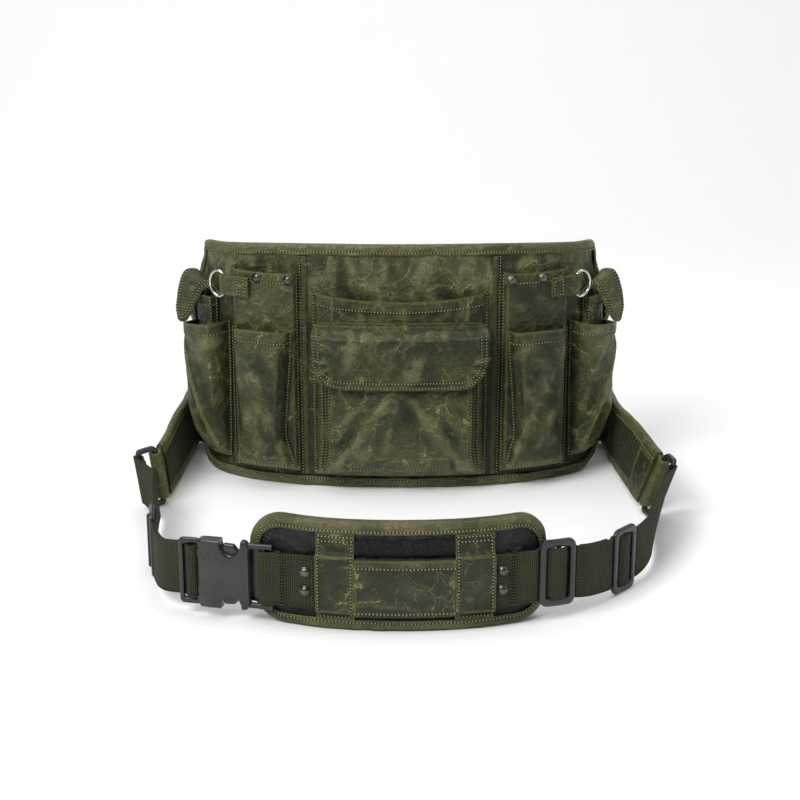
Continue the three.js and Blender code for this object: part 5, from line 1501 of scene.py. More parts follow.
# %% [markdown]
# ## Wings
# Each wing is a soft arm of leather with a knit lining. It keeps one width near the panel, gets
# slimmer towards the strap, and is folded round a bar there. Its edging is open at the bar end, so
# it is swept as an open row of sections that stand upright past the rounded root.

# %% What the wings and the strap's hardware share
WING_ROOT_TALL, WING_CORNER, WING_TUCK, RING_BARS = 63, 8, 2.5, 17
BAR_WIDE, BAR_THICK, WEB_WIDE, WEB_THICK = 3.6, 2.6, 43, 2
BAR_RADIUS = math.hypot(BAR_WIDE, BAR_THICK) / 2 + SEAM
WEB_RISE = 5.5
wing_rows = table(
    "at low high", (0, 0.25, 0.965), (0.22, 0.05, 0.965), (0.6, 0.05, 0.9), (0.9, 0.065, 0.755),
    (1, 0.1, 0.755)
)
WING_NECK = BAR_RADIUS + WING_THICK + 4
wing_eye, wing_layer = eye_line(BAR_RADIUS, WING_THICK, WING_NECK, WING_NECK + 1.5, 1)
ring_tilt = {"left": 0.8, "right": 0.3}


def wing_of(side_sign, side):
    end = marks["wing_end_" + side]
    root = loop_start if side_sign < 0 else loop_end
    onward = 1 if side_sign < 0 else -1
    long = abs(end - root)

    def height(key, inwards):
        def at(along):
            run = np.abs(np.asarray(along, float) - root)
            corner = WING_CORNER - np.minimum(run, WING_CORNER)
            cut = WING_CORNER - np.sqrt(WING_CORNER**2 - corner**2)
            return WING_ROOT_TALL * table_column(wing_rows, key, run / long) + inwards * cut
        return at

    tilt = ring_tilt[side]
    rear = (end, wing_layer)
    front = (end + onward * RING_BARS * math.cos(tilt), wing_layer + RING_BARS * math.sin(tilt))
    return dict(
        side=side, root=root, onward=onward, long=long, tilt=tilt, rear=rear, front=front,
        low=height("low", 1), high=height("high", -1)
    )


# %% Wings
def wing_core(wing):
    body = np.arange(WING_TUCK, wing["long"] - WING_NECK - 6, 2.0)
    body = np.stack([wing["root"] + wing["onward"] * body, 0 * body], axis=1)
    bend = beside_bar(wing["rear"], -wing["onward"], 0, wing_eye)
    line = smoothed_line(np.concatenate([body, bend]), 1.5, 0.9)
    low, high = wing["low"], wing["high"]
    piece = ribbon("wing_leather_" + wing["side"], line, WING_THICK, low, high, on_loop, 1.0, 26)
    dress(piece, leather, ["wing_" + wing["side"]])


# %% Edging of the wings
def wing_edging(wing):
    grow = CHANNEL_SLACK + BINDING_WALL
    runs = np.arange(WING_CORNER, wing["long"] - WING_NECK - 3, 1.8)
    along = wing["root"] + wing["onward"] * runs
    edge_low, edge_high = wing["low"](along[0]), wing["high"](along[0])
    corner = []
    for turn in np.linspace(0.08, 0.92, 9) * math.pi / 2:
        back = WING_CORNER - (WING_CORNER + grow) * math.sin(turn)
        lift = WING_CORNER - (WING_CORNER + grow) * math.cos(turn)
        corner.append((wing["root"] + wing["onward"] * back, lift))
    walk = [(u, wing["low"](u) - grow) for u in along[::-1]]
    walk += [(u, edge_low + lift) for u, lift in corner]
    walk += [(u, edge_high - lift) for u, lift in corner[::-1]]
    walk += [(u, wing["high"](u) + grow) for u in along]
    walk = np.array(walk, float)
    away = square_to(np.gradient(walk, axis=0)) * -wing["onward"]
    upright = smooth_step(np.abs(walk[:, 0] - wing["root"]), WING_CORNER - 3, WING_CORNER)[:, None]
    away = away * (1 - upright) + np.stack([0 * away[:, 1], np.sign(away[:, 1])], axis=1) * upright
    deep, out = folded_section(-WING_THICK / 2, WING_THICK / 2)
    run = np.concatenate([[0], np.cumsum(np.linalg.norm(np.diff(walk, axis=0), axis=1))])
    wave = ripples(run[:, None], deep * 2, 111, 44, 11) * 0.25 * np.sign(out)
    u, v = walk[:, 0:1] - away[:, 0:1] * deep, walk[:, 1:2] - away[:, 1:2] * deep
    piece = swept("wing_edging_" + wing["side"], on_loop(u, v, out + wave))
    dress(piece, edge_leather, ["wing_binding_" + wing["side"]])
    inside = even_line(walk - away * SEAM_DEEP, 2.0)
    for face in folded_faces(-WING_THICK / 2, WING_THICK / 2):
        seams.append(on_loop(inside[:, 0], inside[:, 1], face))


# %% Lining of the wings
def wing_sheet(name, nodes, wing, start, stop, thick, look):
    inner = WING_THICK / 2 + SEAM
    line = wing["root"] + wing["onward"] * np.arange(start, stop + 0.1, 2.0)
    margin = BINDING_WIDE - CHANNEL_SLACK - BINDING_WALL + SEAM
    low, high = wing["low"](line) + margin, wing["high"](line) - margin
    share = np.linspace(0, 1, 24)
    up = low[:, None] + (high - low)[:, None] * share
    along = np.repeat(line[:, None], len(share), axis=1)
    puff = np.sin(share * math.pi) ** 0.5 * 0.5 + ripples(along, up, 120, 40, 15) * 0.12
    outer, inside = on_loop(along, up, -inner - thick - puff), on_loop(along, up, -inner)
    dress(walled(name, outer, inside, np.stack([along, up], axis=-1) * MM), look, nodes)


# %% Both wings
SHEET_END, KNIT_FROM, PATCH_LONG = BAR_RADIUS + WING_THICK + 8, 58, 32
wings = {side: wing_of(side_sign, side) for side_sign, side in ((-1, "left"), (1, "right"))}
for wing in wings.values():
    wing_core(wing)
    wing_edging(wing)
left, right = wings["left"], wings["right"]
left_end, right_end = left["long"] - SHEET_END, right["long"] - SHEET_END
knit_end = right_end - PATCH_LONG - SEAM
wing_sheet("knit_left", ["wing_mesh_left"], left, KNIT_FROM, left_end, 1, knit_look)
wing_sheet("knit_right", ["wing_mesh_right"], right, KNIT_FROM, knit_end, 1, knit_look)
wing_sheet(
    "patch_right", ["wing_patch_right"], right, knit_end + SEAM, right_end, 1.5, leather
)
print("wings:", [round(wing["long"]) for wing in wings.values()], "mm long")

# %% [markdown]
# ## Moulded parts
# Sliders, rings and the buckle's frames are all closed bars of plastic: the space between an outer
# and an inner rounded rectangle, with soft edges. A bevelled box with a hole would do for one of
# them, but a section swept between two outlines makes them all.

# %% Bars and frames
def rounded_box(start, stop, low, high, corner, per_corner=7, per_side=9):
    """A rounded rectangle; any two of them have the same number of points in the same order."""
    corners = [(stop - corner, high - corner), (start + corner, high - corner),
               (start + corner, low + corner), (stop - corner, low + corner)]
    points = []
    for k, (x, y) in enumerate(corners):
        turns = (k + np.linspace(0, 1, per_corner)) * math.pi / 2
        arc = [(x + corner * math.cos(a), y + corner * math.sin(a)) for a in turns]
        if points:
            points += [tuple(p) for p in np.linspace(points[-1], arc[0], per_side)[1:-1]]
        points += arc
    points += [tuple(p) for p in np.linspace(points[-1], points[0], per_side)[1:-1]]
    return np.array(points)


def soft_square(count, power):
    turns = np.linspace(0, math.tau, count + 1)[:-1]
    across = np.sign(np.cos(turns)) * np.abs(np.cos(turns)) ** power
    return across, np.sign(np.sin(turns)) * np.abs(np.sin(turns)) ** power


def plastic_frame(name, outer, inner, thick, place):
    across, deep = soft_square(16, 0.55)
    middle, half = (outer + inner) / 2, (outer - inner) / 2
    x, y = (middle[:, k : k + 1] + half[:, k : k + 1] * across for k in range(2))
    return swept(name, place(x, y, np.broadcast_to(deep * thick / 2, x.shape)), closed=True, sharp=60)


def plastic_bar(name, x, half_wide, low, high, thick, place):
    across, deep = soft_square(16, 0.6)
    y = np.linspace(low, high, 24)[:, None] + 0 * across
    return swept(name, place(x + half_wide * across + 0 * y, y, thick / 2 * deep + 0 * y), sharp=60)


# %% Several parts as one
def joined(name, pieces):
    """Several meshes as one object."""
    whole = bpy.data.meshes.new(name)
    from_all = bmesh.new()
    for piece in pieces:
        from_all.from_mesh(piece.data)
        bpy.data.objects.remove(piece)
    from_all.to_mesh(whole)
    from_all.free()
    return linked(name, whole)


# %% Strap rings and sliders
SLIDER_TALL, SLIDER_LONG, BAR_DEEP = 54, 29, 3.2
RAIL = (SLIDER_TALL - WEB_WIDE) / 2
WINDOW_SLACK = 0.9


def window_box(start, stop, corner=1.8):
    return rounded_box(start, stop, -WINDOW_SLACK, WEB_WIDE + WINDOW_SLACK, corner)


def strap_ring(wing):
    def place(x, y, z):
        flat = np.stack([x.ravel(), z.ravel()], axis=1)
        along, out = beside_bar(wing["rear"], wing["onward"], wing["tilt"], flat).T
        return on_loop(along.reshape(x.shape), WEB_RISE + y, out.reshape(x.shape))

    half = BAR_WIDE / 2
    outer = rounded_box(-half, RING_BARS + half, -RAIL, WEB_WIDE + RAIL, 4.5)
    inner = window_box(half, RING_BARS - half)
    piece = plastic_frame("strap_ring_frame_" + wing["side"], outer, inner, 4, place)
    dress(piece, plastic_look, ["strap_ring_" + wing["side"]])


def slider(name, nodes, middle):
    half = SLIDER_LONG / 2
    slope = (rise_at(middle + half) - rise_at(middle - half)) / SLIDER_LONG

    def place(x, y, z):
        return on_loop(middle + x, rise_at(middle) + slope * x + y, z)

    outer = rounded_box(-half - 0.6, half + 0.6, -RAIL - 0.2, WEB_WIDE + RAIL + 0.2, 6)
    inner = rounded_box(-half + BAR_WIDE + 0.6, half - BAR_WIDE - 0.6, 0.5, WEB_WIDE - 0.5, 2.6)
    whole = plastic_frame(name + "_frame", outer, inner, BAR_DEEP + 0.6, place)
    low, high = -WINDOW_SLACK - 1.5, WEB_WIDE + WINDOW_SLACK + 1.5
    bar = plastic_bar(name + "_bar", 0, BAR_WIDE / 2, low, high, BAR_THICK, place)
    dress(joined(name, [whole, bar]), plastic_look, nodes)


for wing in wings.values():
    strap_ring(wing)
slider_left, slider_front, slider_rear = (marks["slider_" + name] for name in ("left", "front", "rear"))
slider("slider_plastic_left", ["slider_left"], slider_left)
slider("slider_plastic_front", ["slider_front_right"], slider_front)
slider("slider_plastic_rear", ["slider_rear_right"], slider_rear)
print("sliders at", [round(at) for at in (slider_left, slider_front, slider_rear)], "mm along the loop")

# %% [markdown]
# ## The buckle
# The two halves are clicked together. The male half is a frame with a second bar and two prongs,
# and the female half is a body of which only the outside is seen. Its notches could be cut with
# booleans, but a half width that follows a rule along its length gives them cleaner edges.

# %% Where the buckle lies
BUCKLE_LONG = 66
female_bar = marks["female"] + 6
male_bar = female_bar - BUCKLE_LONG
EYE_NECK = BAR_RADIUS + WEB_THICK + 5
web_eye, web_layer = eye_line(BAR_RADIUS, WEB_THICK, EYE_NECK, EYE_NECK + 3, -1)
male_end = on_loop(male_bar, rise_at(male_bar), -web_layer)
buckle_run = on_loop(female_bar, rise_at(female_bar), -web_layer) - male_end
buckle_out = np.array([buckle_run[1], -buckle_run[0], 0]) / np.hypot(*buckle_run[:2])


def on_buckle(x, y, z):
    x, y, z = as_arrays(x, y, z)
    there = male_end + buckle_run * (x / BUCKLE_LONG)[..., None] + buckle_out * (z * MM)[..., None]
    return there + np.array([0, 0, MM]) * y[..., None]


# %% The male half
INNER_BAR, MIDDLE, PRONG_LONG = 9.2, WEB_WIDE / 2, 35
BODY_FROM, BODY_TO, BODY_HALF = 15, BUCKLE_LONG - 11.5, 28
NOTCH_AT, NOTCH_LONG, NOTCH_DEEP = BODY_TO - 14, 17, 11


prong_rows = table(
    "at inner outer", (0, 12, 19), (18.5, 12.3, 19.5), (22, 12.6, 25), (28.5, 13, 24.6),
    (PRONG_LONG, 15, 18)
)


def buckle_male():
    outer = rounded_box(-BAR_WIDE / 2, BODY_FROM + 1.5, -RAIL, WEB_WIDE + RAIL, 4)
    inner = window_box(BAR_WIDE / 2, BODY_FROM - 2)
    whole = [plastic_frame("male_frame", outer, inner, 3.6, on_buckle)]
    whole.append(plastic_bar("inner_bar", INNER_BAR, 1.6, -1.5, WEB_WIDE + 1.5, 2.6, on_buckle))
    run = np.linspace(0, PRONG_LONG, 40)
    inner, outer = (table_column(prong_rows, key, run)[:, None] for key in ("inner", "outer"))
    across, deep = soft_square(18, 0.6)
    for up in (-1, 1):
        y = MIDDLE + up * ((inner + outer) / 2 + (outer - inner) / 2 * across)
        x = BODY_FROM - 1.5 + run[:, None] + 0 * across
        whole.append(swept("male_arm", on_buckle(x, y, 2.4 * deep + 0 * y), sharp=60))
    dress(joined("buckle_prongs", whole), plastic_look, ["buckle_male"])


# %% The female half's body
def notched_length():
    """Places along the body, close together at its ends and round its notches."""
    start, stop = NOTCH_AT - NOTCH_LONG / 2, NOTCH_AT + NOTCH_LONG / 2
    eased = (1 - np.cos(np.linspace(0, 1, 30) * math.pi)) / 2
    return np.concatenate([
        BODY_FROM + np.array([0, 0.25, 0.8, 1.6]),
        np.linspace(BODY_FROM + 3, start, 8)[:-1],
        start + NOTCH_LONG * eased,
        np.linspace(stop, BODY_TO - 2, 5)[1:],
        BODY_TO - np.array([1.2, 0.5, 0]),
    ])


def body_edge():
    """Signs and cuts that make the body's section: tall, deep, and how far its corners draw in."""
    soft = [(2.2 * (1 - math.cos(a)), 2.2 * (1 - math.sin(a))) for a in np.linspace(0, math.pi / 2, 6)]
    flat = np.linspace(0.85, -0.85, 12)
    edge = [(1, 1, -a, -b) for a, b in soft] + [(c, 1, 0, 0) for c in flat]
    edge += [(-1, 1, a, -b) for a, b in soft[::-1]] + [(-1, -1, a, b) for a, b in soft]
    edge += [(c, -1, 0, 0) for c in -flat] + [(1, -1, -a, b) for a, b in soft[::-1]]
    return np.array(edge).T


def female_body():
    x = notched_length()
    share = np.clip((x - NOTCH_AT) / (NOTCH_LONG / 2), -1, 1)
    at_mouth = 1 - smooth_step(x, BODY_FROM, BODY_FROM + 1.4)
    half = BODY_HALF - NOTCH_DEEP * np.sqrt(1 - share**2)
    half -= 2.2 * smooth_step(x, BODY_TO - 2.5, BODY_TO) + 0.9 * at_mouth
    thick = 4.4 + 0.6 * smooth_step(x, BODY_FROM, BODY_FROM + 9)
    thick -= 1.9 * smooth_step(x, BODY_TO - 9, BODY_TO) + 0.7 * at_mouth
    tall, deep, cut_tall, cut_deep = body_edge()
    y = MIDDLE + half[:, None] * tall + cut_tall
    z = thick[:, None] * deep + cut_deep
    z = z + 0.5 * deep * (1 - tall**2) * smooth_step(x, BODY_FROM, BODY_FROM + 12)[:, None]
    return swept("female_body", on_buckle(x[:, None] + 0 * y, y, z), sharp=55)


# %% The female half as one piece
def lying(x, y, z):
    return on_buckle(y, x, z)


def behind_buckle(x, y, z):
    return on_buckle(x, y, z - 4.6)


def buckle_female():
    parts = [female_body()]
    outer = rounded_box(BODY_TO - 3, BUCKLE_LONG + BAR_WIDE / 2, 0.6 - RAIL, WEB_WIDE + RAIL - 0.6, 3.4)
    inner = window_box(BODY_TO + 0.5, BUCKLE_LONG - BAR_WIDE / 2)
    parts.append(plastic_frame("female_tail", outer, inner, 3.6, on_buckle))
    ear, half_ear = RAIL / 2 + 0.2, RAIL / 2 - 0.5
    for rail in (-ear, WEB_WIDE + ear):
        parts.append(plastic_bar("ear", rail, half_ear, BUCKLE_LONG - 4, BUCKLE_LONG + 7, 3.8, lying))
    # A plate set back behind the tail's window fills it with dark plastic, standing in for the shade seen
    # through it.
    parts.append(plastic_bar("back_plate", BODY_TO + 3.5, 4.5, -1, WEB_WIDE + 1, 1.2, behind_buckle))
    dress(joined("buckle_body", parts), plastic_look, ["buckle_female"])


buckle_male()
buckle_female()
print("buckle from", round(male_bar), "to", round(female_bar), "mm along the loop")

# %% [markdown]
# ## Webbing
# The strap is two lengths of webbing. Each comes back on itself round a bar and weaves over and
# under the sliders. The line is laid out in plan, its corners are rounded, and a flat section with
# thin soft edges follows it.

# %% Lines for the webbing
weave_deep = BAR_THICK / 2 + SEAM + WEB_THICK / 2 + 0.4
half_weave = [(0.1, 1), (0.165, 0.62), (0.275, -0.62), (0.34, -1), (0.5, -1), (0.62, 0)]
weave_rows = [(-run, out) for run, out in half_weave[::-1]] + half_weave


def weave(middle):
    return [(middle + SLIDER_LONG * run, weave_deep * out) for run, out in weave_rows]


def plain_run(start, stop):
    return [(along, 0.0) for along in np.linspace(start, stop, max(2, int((stop - start) / 11) + 2))]


def ring_end(wing):
    reach = 30
    angle = math.atan2(-wing["front"][1], reach)
    line = beside_bar(wing["front"], wing["onward"], angle, web_eye)[::-1]
    return [tuple(p) for p in line], wing["front"][0] + wing["onward"] * reach


def male_end_line():
    """Behind the buckle's outer bar, up through its window, round the inner bar and back."""
    points = [(-34, web_layer), (-22, web_layer - 1.2), (-8, -3.2), (-1, -3.6), (3, -2.6), (6.4, 0.9)]
    points += [(8.2, 2.7), (10, 2.9), (12, 1.8), (12.9, 0), (12.6, -2.2), (10.6, -4.2), (7, -5.4)]
    points += [(2, -6.1), (-4, -6.2), (-10, -5.0), (-16, -3.2), (-21, -web_layer - 0.2)]
    return [(male_bar + x, y - web_layer) for x, y in points]


# %% Webbing
def web_high(along):
    return rise_at(along) + WEB_WIDE


def soft_run(run, up):
    return ripples(run, up, 131, 120, 40) * 0.12


def webbing(name, nodes, points):
    line = smoothed_line(points, 1.4, 0.8)
    piece = ribbon(name, line, WEB_THICK, rise_at, web_high, on_loop, 0.85, 16, soft_run)
    dress(piece, webbing_look, nodes)
    return line


reach = SLIDER_LONG * half_weave[-1][0]
start, joins = ring_end(wings["left"])
left_line = webbing("webbing_cloth_left", ["webbing_left"], [
    *start, *plain_run(joins, slider_left - reach - 4), *weave(slider_left),
    *plain_run(slider_left + reach + 4, male_bar - 38), *male_end_line(),
])
end, joins = ring_end(wings["right"])
buckle_eye = beside_bar((female_bar, -web_layer), 1, 0, web_eye)[::-1]
right_line = webbing("webbing_cloth_front", ["webbing_front"], [
    *buckle_eye, *plain_run(female_bar + EYE_NECK + 6, slider_front - reach - 3),
    *weave(slider_front), *plain_run(slider_front + reach + 3, slider_rear - reach - 3),
    *weave(slider_rear), *plain_run(slider_rear + reach + 3, joins), *end[::-1],
])


# %% Free ends of the webbing
def free_end(side, start, stop):
    under = -(WEB_THICK + SEAM + 0.1)
    points = [(along, under) for along in np.linspace(start, stop, 9)]
    webbing("webbing_tail_" + side, ["webbing_end_" + side], points)


free_end("left", slider_left + reach + 4, male_bar - 23)
free_end("right", slider_front + reach + 4, slider_rear - reach - 4)

# %% Seams of the webbing
web_seams = []


def web_seam(corners):
    """A seam on the outside of the strap; its corners are along the loop and up from its edge."""
    line = even_line(corners, 1.0)
    web_seams.append(on_loop(line[:, 0], rise_at(line[:, 0]) + line[:, 1], WEB_THICK / 2 + 0.12))


low, high = 2.6, WEB_WIDE - 2.6
for at in (-88.2, -90.0, 84.6, 86.4):
    web_seam([(at, 1.5), (at, WEB_WIDE - 1.5)])
web_seam([(-86, low), (-65, low), (-65, high), (-86, high), (-86, low)])
web_seam([(72.6, high), (83, high), (83, low), (72.6, low)])
for at in (slider_left + reach + 12, slider_front + reach + 5):
    web_seam([(at, 2), (at, WEB_WIDE - 2)])
print("webbing:", len(left_line), "and", len(right_line), "sections")

# %% [markdown]
# ## The padded rest
# The rest is soft, and a cushion is hard to draw by hand: it swells where it is free and stays flat
# where its edging and its tabs hold it. So the flat pad is blown up a little as cloth, its swelling
# is limited by what lies on it, and only then is it bent into the strap's curve.

# %% The pad's place and outline
PAD_HALF, PAD_TALL, PAD_THICK, PAD_CORNER = 117, 87, 9, 27
PAD_FACE = -(WEB_THICK / 2 + BINDING_WALL + FOLD_SLACK + SEAM)
pad_shape = shape_of(PAD_HALF, PAD_TALL, PAD_CORNER, PAD_CORNER, 0)
pad_middle = PAD_FACE - PAD_THICK / 2


def pad_drop(along):
    return 7.5 * np.minimum(1.2, np.abs(along) / PAD_HALF) ** 4


def on_pad(along, up, out):
    """A point of the rest, whose ends bend away from the strap."""
    along, up, out = as_arrays(along, up, out)
    x, y = plan_point(along, out - pad_drop(along))
    return np.stack([x, y, up], axis=-1) * MM + shift


def flat_pad(along, up, out):
    along, up, out = as_arrays(along, up, out)
    return np.stack([along, out, up], axis=-1) * MM


def inside_pad(along, up):
    """How far a place of the pad lies inside its outline, in millimetres."""
    past_u = np.maximum(np.abs(along) - (PAD_HALF - PAD_CORNER), 0)
    past_v = np.maximum(np.abs(up - PAD_TALL / 2) - (PAD_TALL / 2 - PAD_CORNER), 0)
    straight = np.minimum(PAD_HALF - np.abs(along), PAD_TALL / 2 - np.abs(up - PAD_TALL / 2))
    return np.where((past_u > 0) & (past_v > 0), PAD_CORNER - np.hypot(past_u, past_v), straight)


# %% Blowing up
def evaluated(piece):
    """The piece as its modifiers leave it."""
    return piece.evaluated_get(bpy.context.evaluated_depsgraph_get())


def blow_up(piece):
    """Cloth pressure on a closed mesh, applied; returns the points before and after."""
    before = np.array([v.co for v in piece.data.vertices])
    scene = bpy.context.scene
    cloth = piece.modifiers.new("air", "CLOTH")
    cloth.settings.quality = 5
    cloth.settings.use_pressure = True
    cloth.settings.uniform_pressure_force = 4
    cloth.settings.tension_stiffness = cloth.settings.compression_stiffness = 12
    cloth.settings.effector_weights.gravity = 0
    cloth.collision_settings.use_collision = False
    cloth.point_cache.frame_start, cloth.point_cache.frame_end = 1, 20
    for frame_number in range(1, 21):
        scene.frame_set(frame_number)
    after = np.array([v.co for v in evaluated(piece).data.vertices])
    piece.modifiers.remove(cloth)
    scene.frame_set(1)
    return before, after


# %% The pad
def even_pad():
    """The flat pad as a closed mesh with faces of one size, which cloth needs."""
    back, front = pad_middle - 3.6, pad_middle + 3.6
    rough = slab("pad_start", pad_shape, 4.0, back, front, flat_pad, lambda u, v: 0 * u)
    remesh = rough.modifiers.new("even", "REMESH")
    remesh.mode = "VOXEL"
    remesh.voxel_size = 0.004
    even = bpy.data.meshes.new_from_object(evaluated(rough))
    bpy.data.objects.remove(rough)
    return linked("rest_pad", even)


# %% Swelling, puckers and bend
def rest_pad():
    piece = even_pad()
    before, after = blow_up(piece)
    u, w, v = (before / MM).T
    side = np.sign(w - pad_middle)
    free = smooth_step(inside_pad(u, v), BINDING_WIDE - 1, 20)
    covered = smooth_step(u, -70, -62) * (1 - smooth_step(u, 70, 78))
    swell = np.maximum((after - before)[:, 1] / MM * side, 1.1)
    limit = 0.8 + np.where(side > 0, 1.3 * free * (1 - covered), 3.0 * free)
    puckers = add_folds(
        ripples(u, v, 140, 26, 9, 9) * 0.5, u, v, ((-108, 58), (-84, 66), 3, 0.9),
        ((-92, 72), (-96, 60), 2.2, -0.9), ((86, 72), (98, 60), 2.4, 0.8),
        ((-100, 26), (-82, 10), 2.6, 0.8), ((84, 12), (100, 24), 2.6, -0.7)
    )
    puckers *= free * np.where(side > 0, 1 - 0.7 * covered, 1.0)
    bent = on_pad(u, v, w + side * (np.minimum(swell, limit) + puckers))
    for vertex, place in zip(piece.data.vertices, bent):
        vertex.co = place
    finer = piece.modifiers.new("finer", "SUBSURF")
    finer.levels = finer.render_levels = 1
    final = bpy.data.meshes.new_from_object(evaluated(piece))
    piece.modifiers.remove(finer)
    piece.data = final
    final.materials.clear()
    final.shade_smooth()
    final.uv_layers.new(name="cloth")
    dress(piece, black_leather, ["back_rest"])
    print("pad:", len(final.vertices), "points")


rest_pad()
rest_edge = edging("rest_edging", pad_shape, PAD_FACE - PAD_THICK, PAD_FACE, on_pad, 0.3, 4.6, 8)
dress(rest_edge, edge_leather, ["back_rest_binding"])

# %% [markdown]
# ## What is sewn on the rest
# Two tabs hold the strap down, a sleeve covers it between them, and a felt strip lies above the
# sleeve. Each cover climbs over the webbing's edge, so one profile across the strap serves all.

# %% What lies over the strap
TAB_WALL, TAB_ENDS = 1.5, BINDING_WIDE + SEAM
WEB_FROM = float(rise_at(0))
WEB_TO = WEB_FROM + WEB_WIDE


def cover_level(up):
    """0 on the pad and 1 on top of the strap."""
    above_foot = smooth_step(up, WEB_FROM - 4, WEB_FROM - 0.4)
    return above_foot * (1 - smooth_step(up, WEB_TO + 0.4, WEB_TO + 4))


def even_grid(start, stop, cols, low, high, rows):
    return as_arrays(np.linspace(start, stop, cols)[None, :], np.linspace(low, high, rows)[:, None])


def cover_place(u, v, out, relief):
    over = cover_level(v)
    low, high = PAD_FACE + SEAM, WEB_THICK / 2 + SEAM + pad_drop(u)
    return on_pad(u, v, low + (high - low) * over + out + relief(u, v))


def cover(name, nodes, start, stop, low, high, relief, end_seams):
    cols, rows = int((stop - start) / 1.3) + 1, int((high - low) / 1.1) + 1
    u, v = even_grid(start, stop, cols, low, high, rows)
    outer, inner = cover_place(u, v, TAB_WALL, relief), cover_place(u, v, 0, relief)
    # Painted shade over the whole cover, darkest where it lies lowest, with a painted highlight only where
    # it rises highest.
    leather_sheet(name, nodes, outer, inner, np.stack([u, v], axis=-1), (relief(u, v) - 1.05) / 0.9)
    for path in end_seams:
        line = even_line(path, 1.0)
        seams.append(cover_place(line[:, 0], line[:, 1], TAB_WALL + 0.12, relief))


def round_seam(start, stop, low, high, inset):
    a, b, c, d = start + inset, stop - inset, low + inset, high - inset
    return [(a, d), (a, c), (b, c), (b, d), (a, d)]


# %% Tabs
for start, stop, side, seed in ((-63, -34, "left", 151), (41, 71, "right", 153)):
    low, high = TAB_ENDS, PAD_TALL - TAB_ENDS

    def tab_relief(u, v, seed=seed, start=start, stop=stop):
        middle = (start + stop) / 2
        long, short = ((middle - 8, 20), (middle + 6, 46)), ((middle + 9, 30), (middle, 16))
        creases = fold(u, v, *long, 3, 0.7) + fold(u, v, *short, 3, 0.6)
        edge = smooth_step(np.abs(u - middle), (stop - start) / 2 - 2, (stop - start) / 2 - 5)
        puff = 0.5 * (1 - edge) + 0.5
        return (ripples(u, v, seed, 40, 12) * 0.35 + creases) * puff * 0.8 + 0.3

    row = [(start + 2.2, high - 6), (stop - 2.2, high - 6)]
    both = [round_seam(start, stop, low, high, 2.2), row]
    cover("strap_tab_" + side, ["rest_tab_" + side], start, stop, low, high, tab_relief, both)

# %% Sleeve and felt
SLEEVE_FROM, SLEEVE_TO = -33.7, 40.7


def sleeve_relief(u, v):
    hem = 0.5 * smooth_step(v, 51.8, 53) + 0.35 * (1 - smooth_step(v, 17.2, 18.2))
    soft = ripples(u * 0.6, v, 157, 44, 14) * 0.3 + fold(u, v, (-30, 24), (10, 21), 2.5, 0.5)
    return hem + soft * smooth_step(v, 14, 20) * (1 - smooth_step(v, 50, 56)) + 0.2


hems = [[(SLEEVE_FROM + 0.5, up), (SLEEVE_TO - 0.5, up)] for up in (53, 16.4)]
cover("strap_sleeve", ["rest_sleeve"], SLEEVE_FROM, SLEEVE_TO, 12, 59.5, sleeve_relief, hems)


def felt_strip():
    u, v = even_grid(SLEEVE_FROM, SLEEVE_TO, 90, 61, 74, 22)
    nap = ripples(u, v, 161, 5, 2.2, 12) * 0.16 + ripples(u, v, 162, 22, 9) * 0.2
    face = PAD_FACE + SEAM
    edge = smooth_step(v, 61, 63) * (1 - smooth_step(v, 72, 74))
    outer = on_pad(u, v, face + 0.5 + 1.1 * edge + nap)
    piece = walled("felt_strip", outer, on_pad(u, v, face), np.stack([u, v], axis=-1) * MM)
    dress(piece, felt_look, ["rest_felt"])


felt_strip()
print("rest is covered, seams:", len(seams))

# %% [markdown]
# ## Rivets
# Eight rivets are one shape set at eight places, which is a rule and not a drawing. The tree makes
# a domed head with a thin collar, sets it at every point along the direction stored there, and
# turns the result into plain geometry.

# %% Helpers for Geometry Nodes
def tree_with_inputs(name, inputs):
    tree = bpy.data.node_groups.new(name, "GeometryNodeTree")
    tree.interface.new_socket("Geometry", in_out="INPUT", socket_type="NodeSocketGeometry")
    for label, kind, value in inputs:
        socket = tree.interface.new_socket(label, in_out="INPUT", socket_type=kind)
        if value is not None:
            socket.default_value = value
    tree.interface.new_socket("Geometry", in_out="OUTPUT", socket_type="NodeSocketGeometry")
    return tree, tree.nodes.new("NodeGroupInput"), tree.nodes.new("NodeGroupOutput")


def grown(name, start, tree, values):
    """The tree run on an object, as a new plain mesh object."""
    carrier = linked(name + "_lines", start)
    grow = carrier.modifiers.new("grow", "NODES")
    grow.node_group = tree
    for item in tree.interface.items_tree:
        if item.item_type == "SOCKET" and item.in_out == "INPUT" and item.name in values:
            grow[item.identifier] = values[item.name]
    result = bpy.data.meshes.new_from_object(evaluated(carrier))
    carrier.modifiers.remove(grow)
    bpy.data.objects.remove(carrier)
    return linked(name, result)


# %% Shapes in a node tree
def shaped(tree, kind, inputs=None, **settings):
    """The first output of a Geometry Node."""
    return node(tree, "GeometryNode" + kind, inputs, **settings).outputs[0]


def vector(tree, x, y, z):
    return node(tree, "ShaderNodeCombineXYZ", {"X": x, "Y": y, "Z": z}).outputs[0]


def together(tree, *shapes):
    whole = node(tree, "GeometryNodeJoinGeometry")
    for shape in shapes:
        tree.links.new(shape, whole.inputs[0])
    return whole.outputs[0]


def set_along(tree, points, one, direction):
    """One shape at every point, turned to the direction there, as plain smooth geometry."""
    turned = node(tree, "FunctionNodeAlignRotationToVector", {"Vector": direction}, axis="Z").outputs[0]
    inputs = {"Points": points, "Instance": one, "Rotation": turned}
    real = shaped(tree, "RealizeInstances", {"Geometry": shaped(tree, "InstanceOnPoints", inputs)})
    return shaped(tree, "SetShadeSmooth", {"Geometry": real})


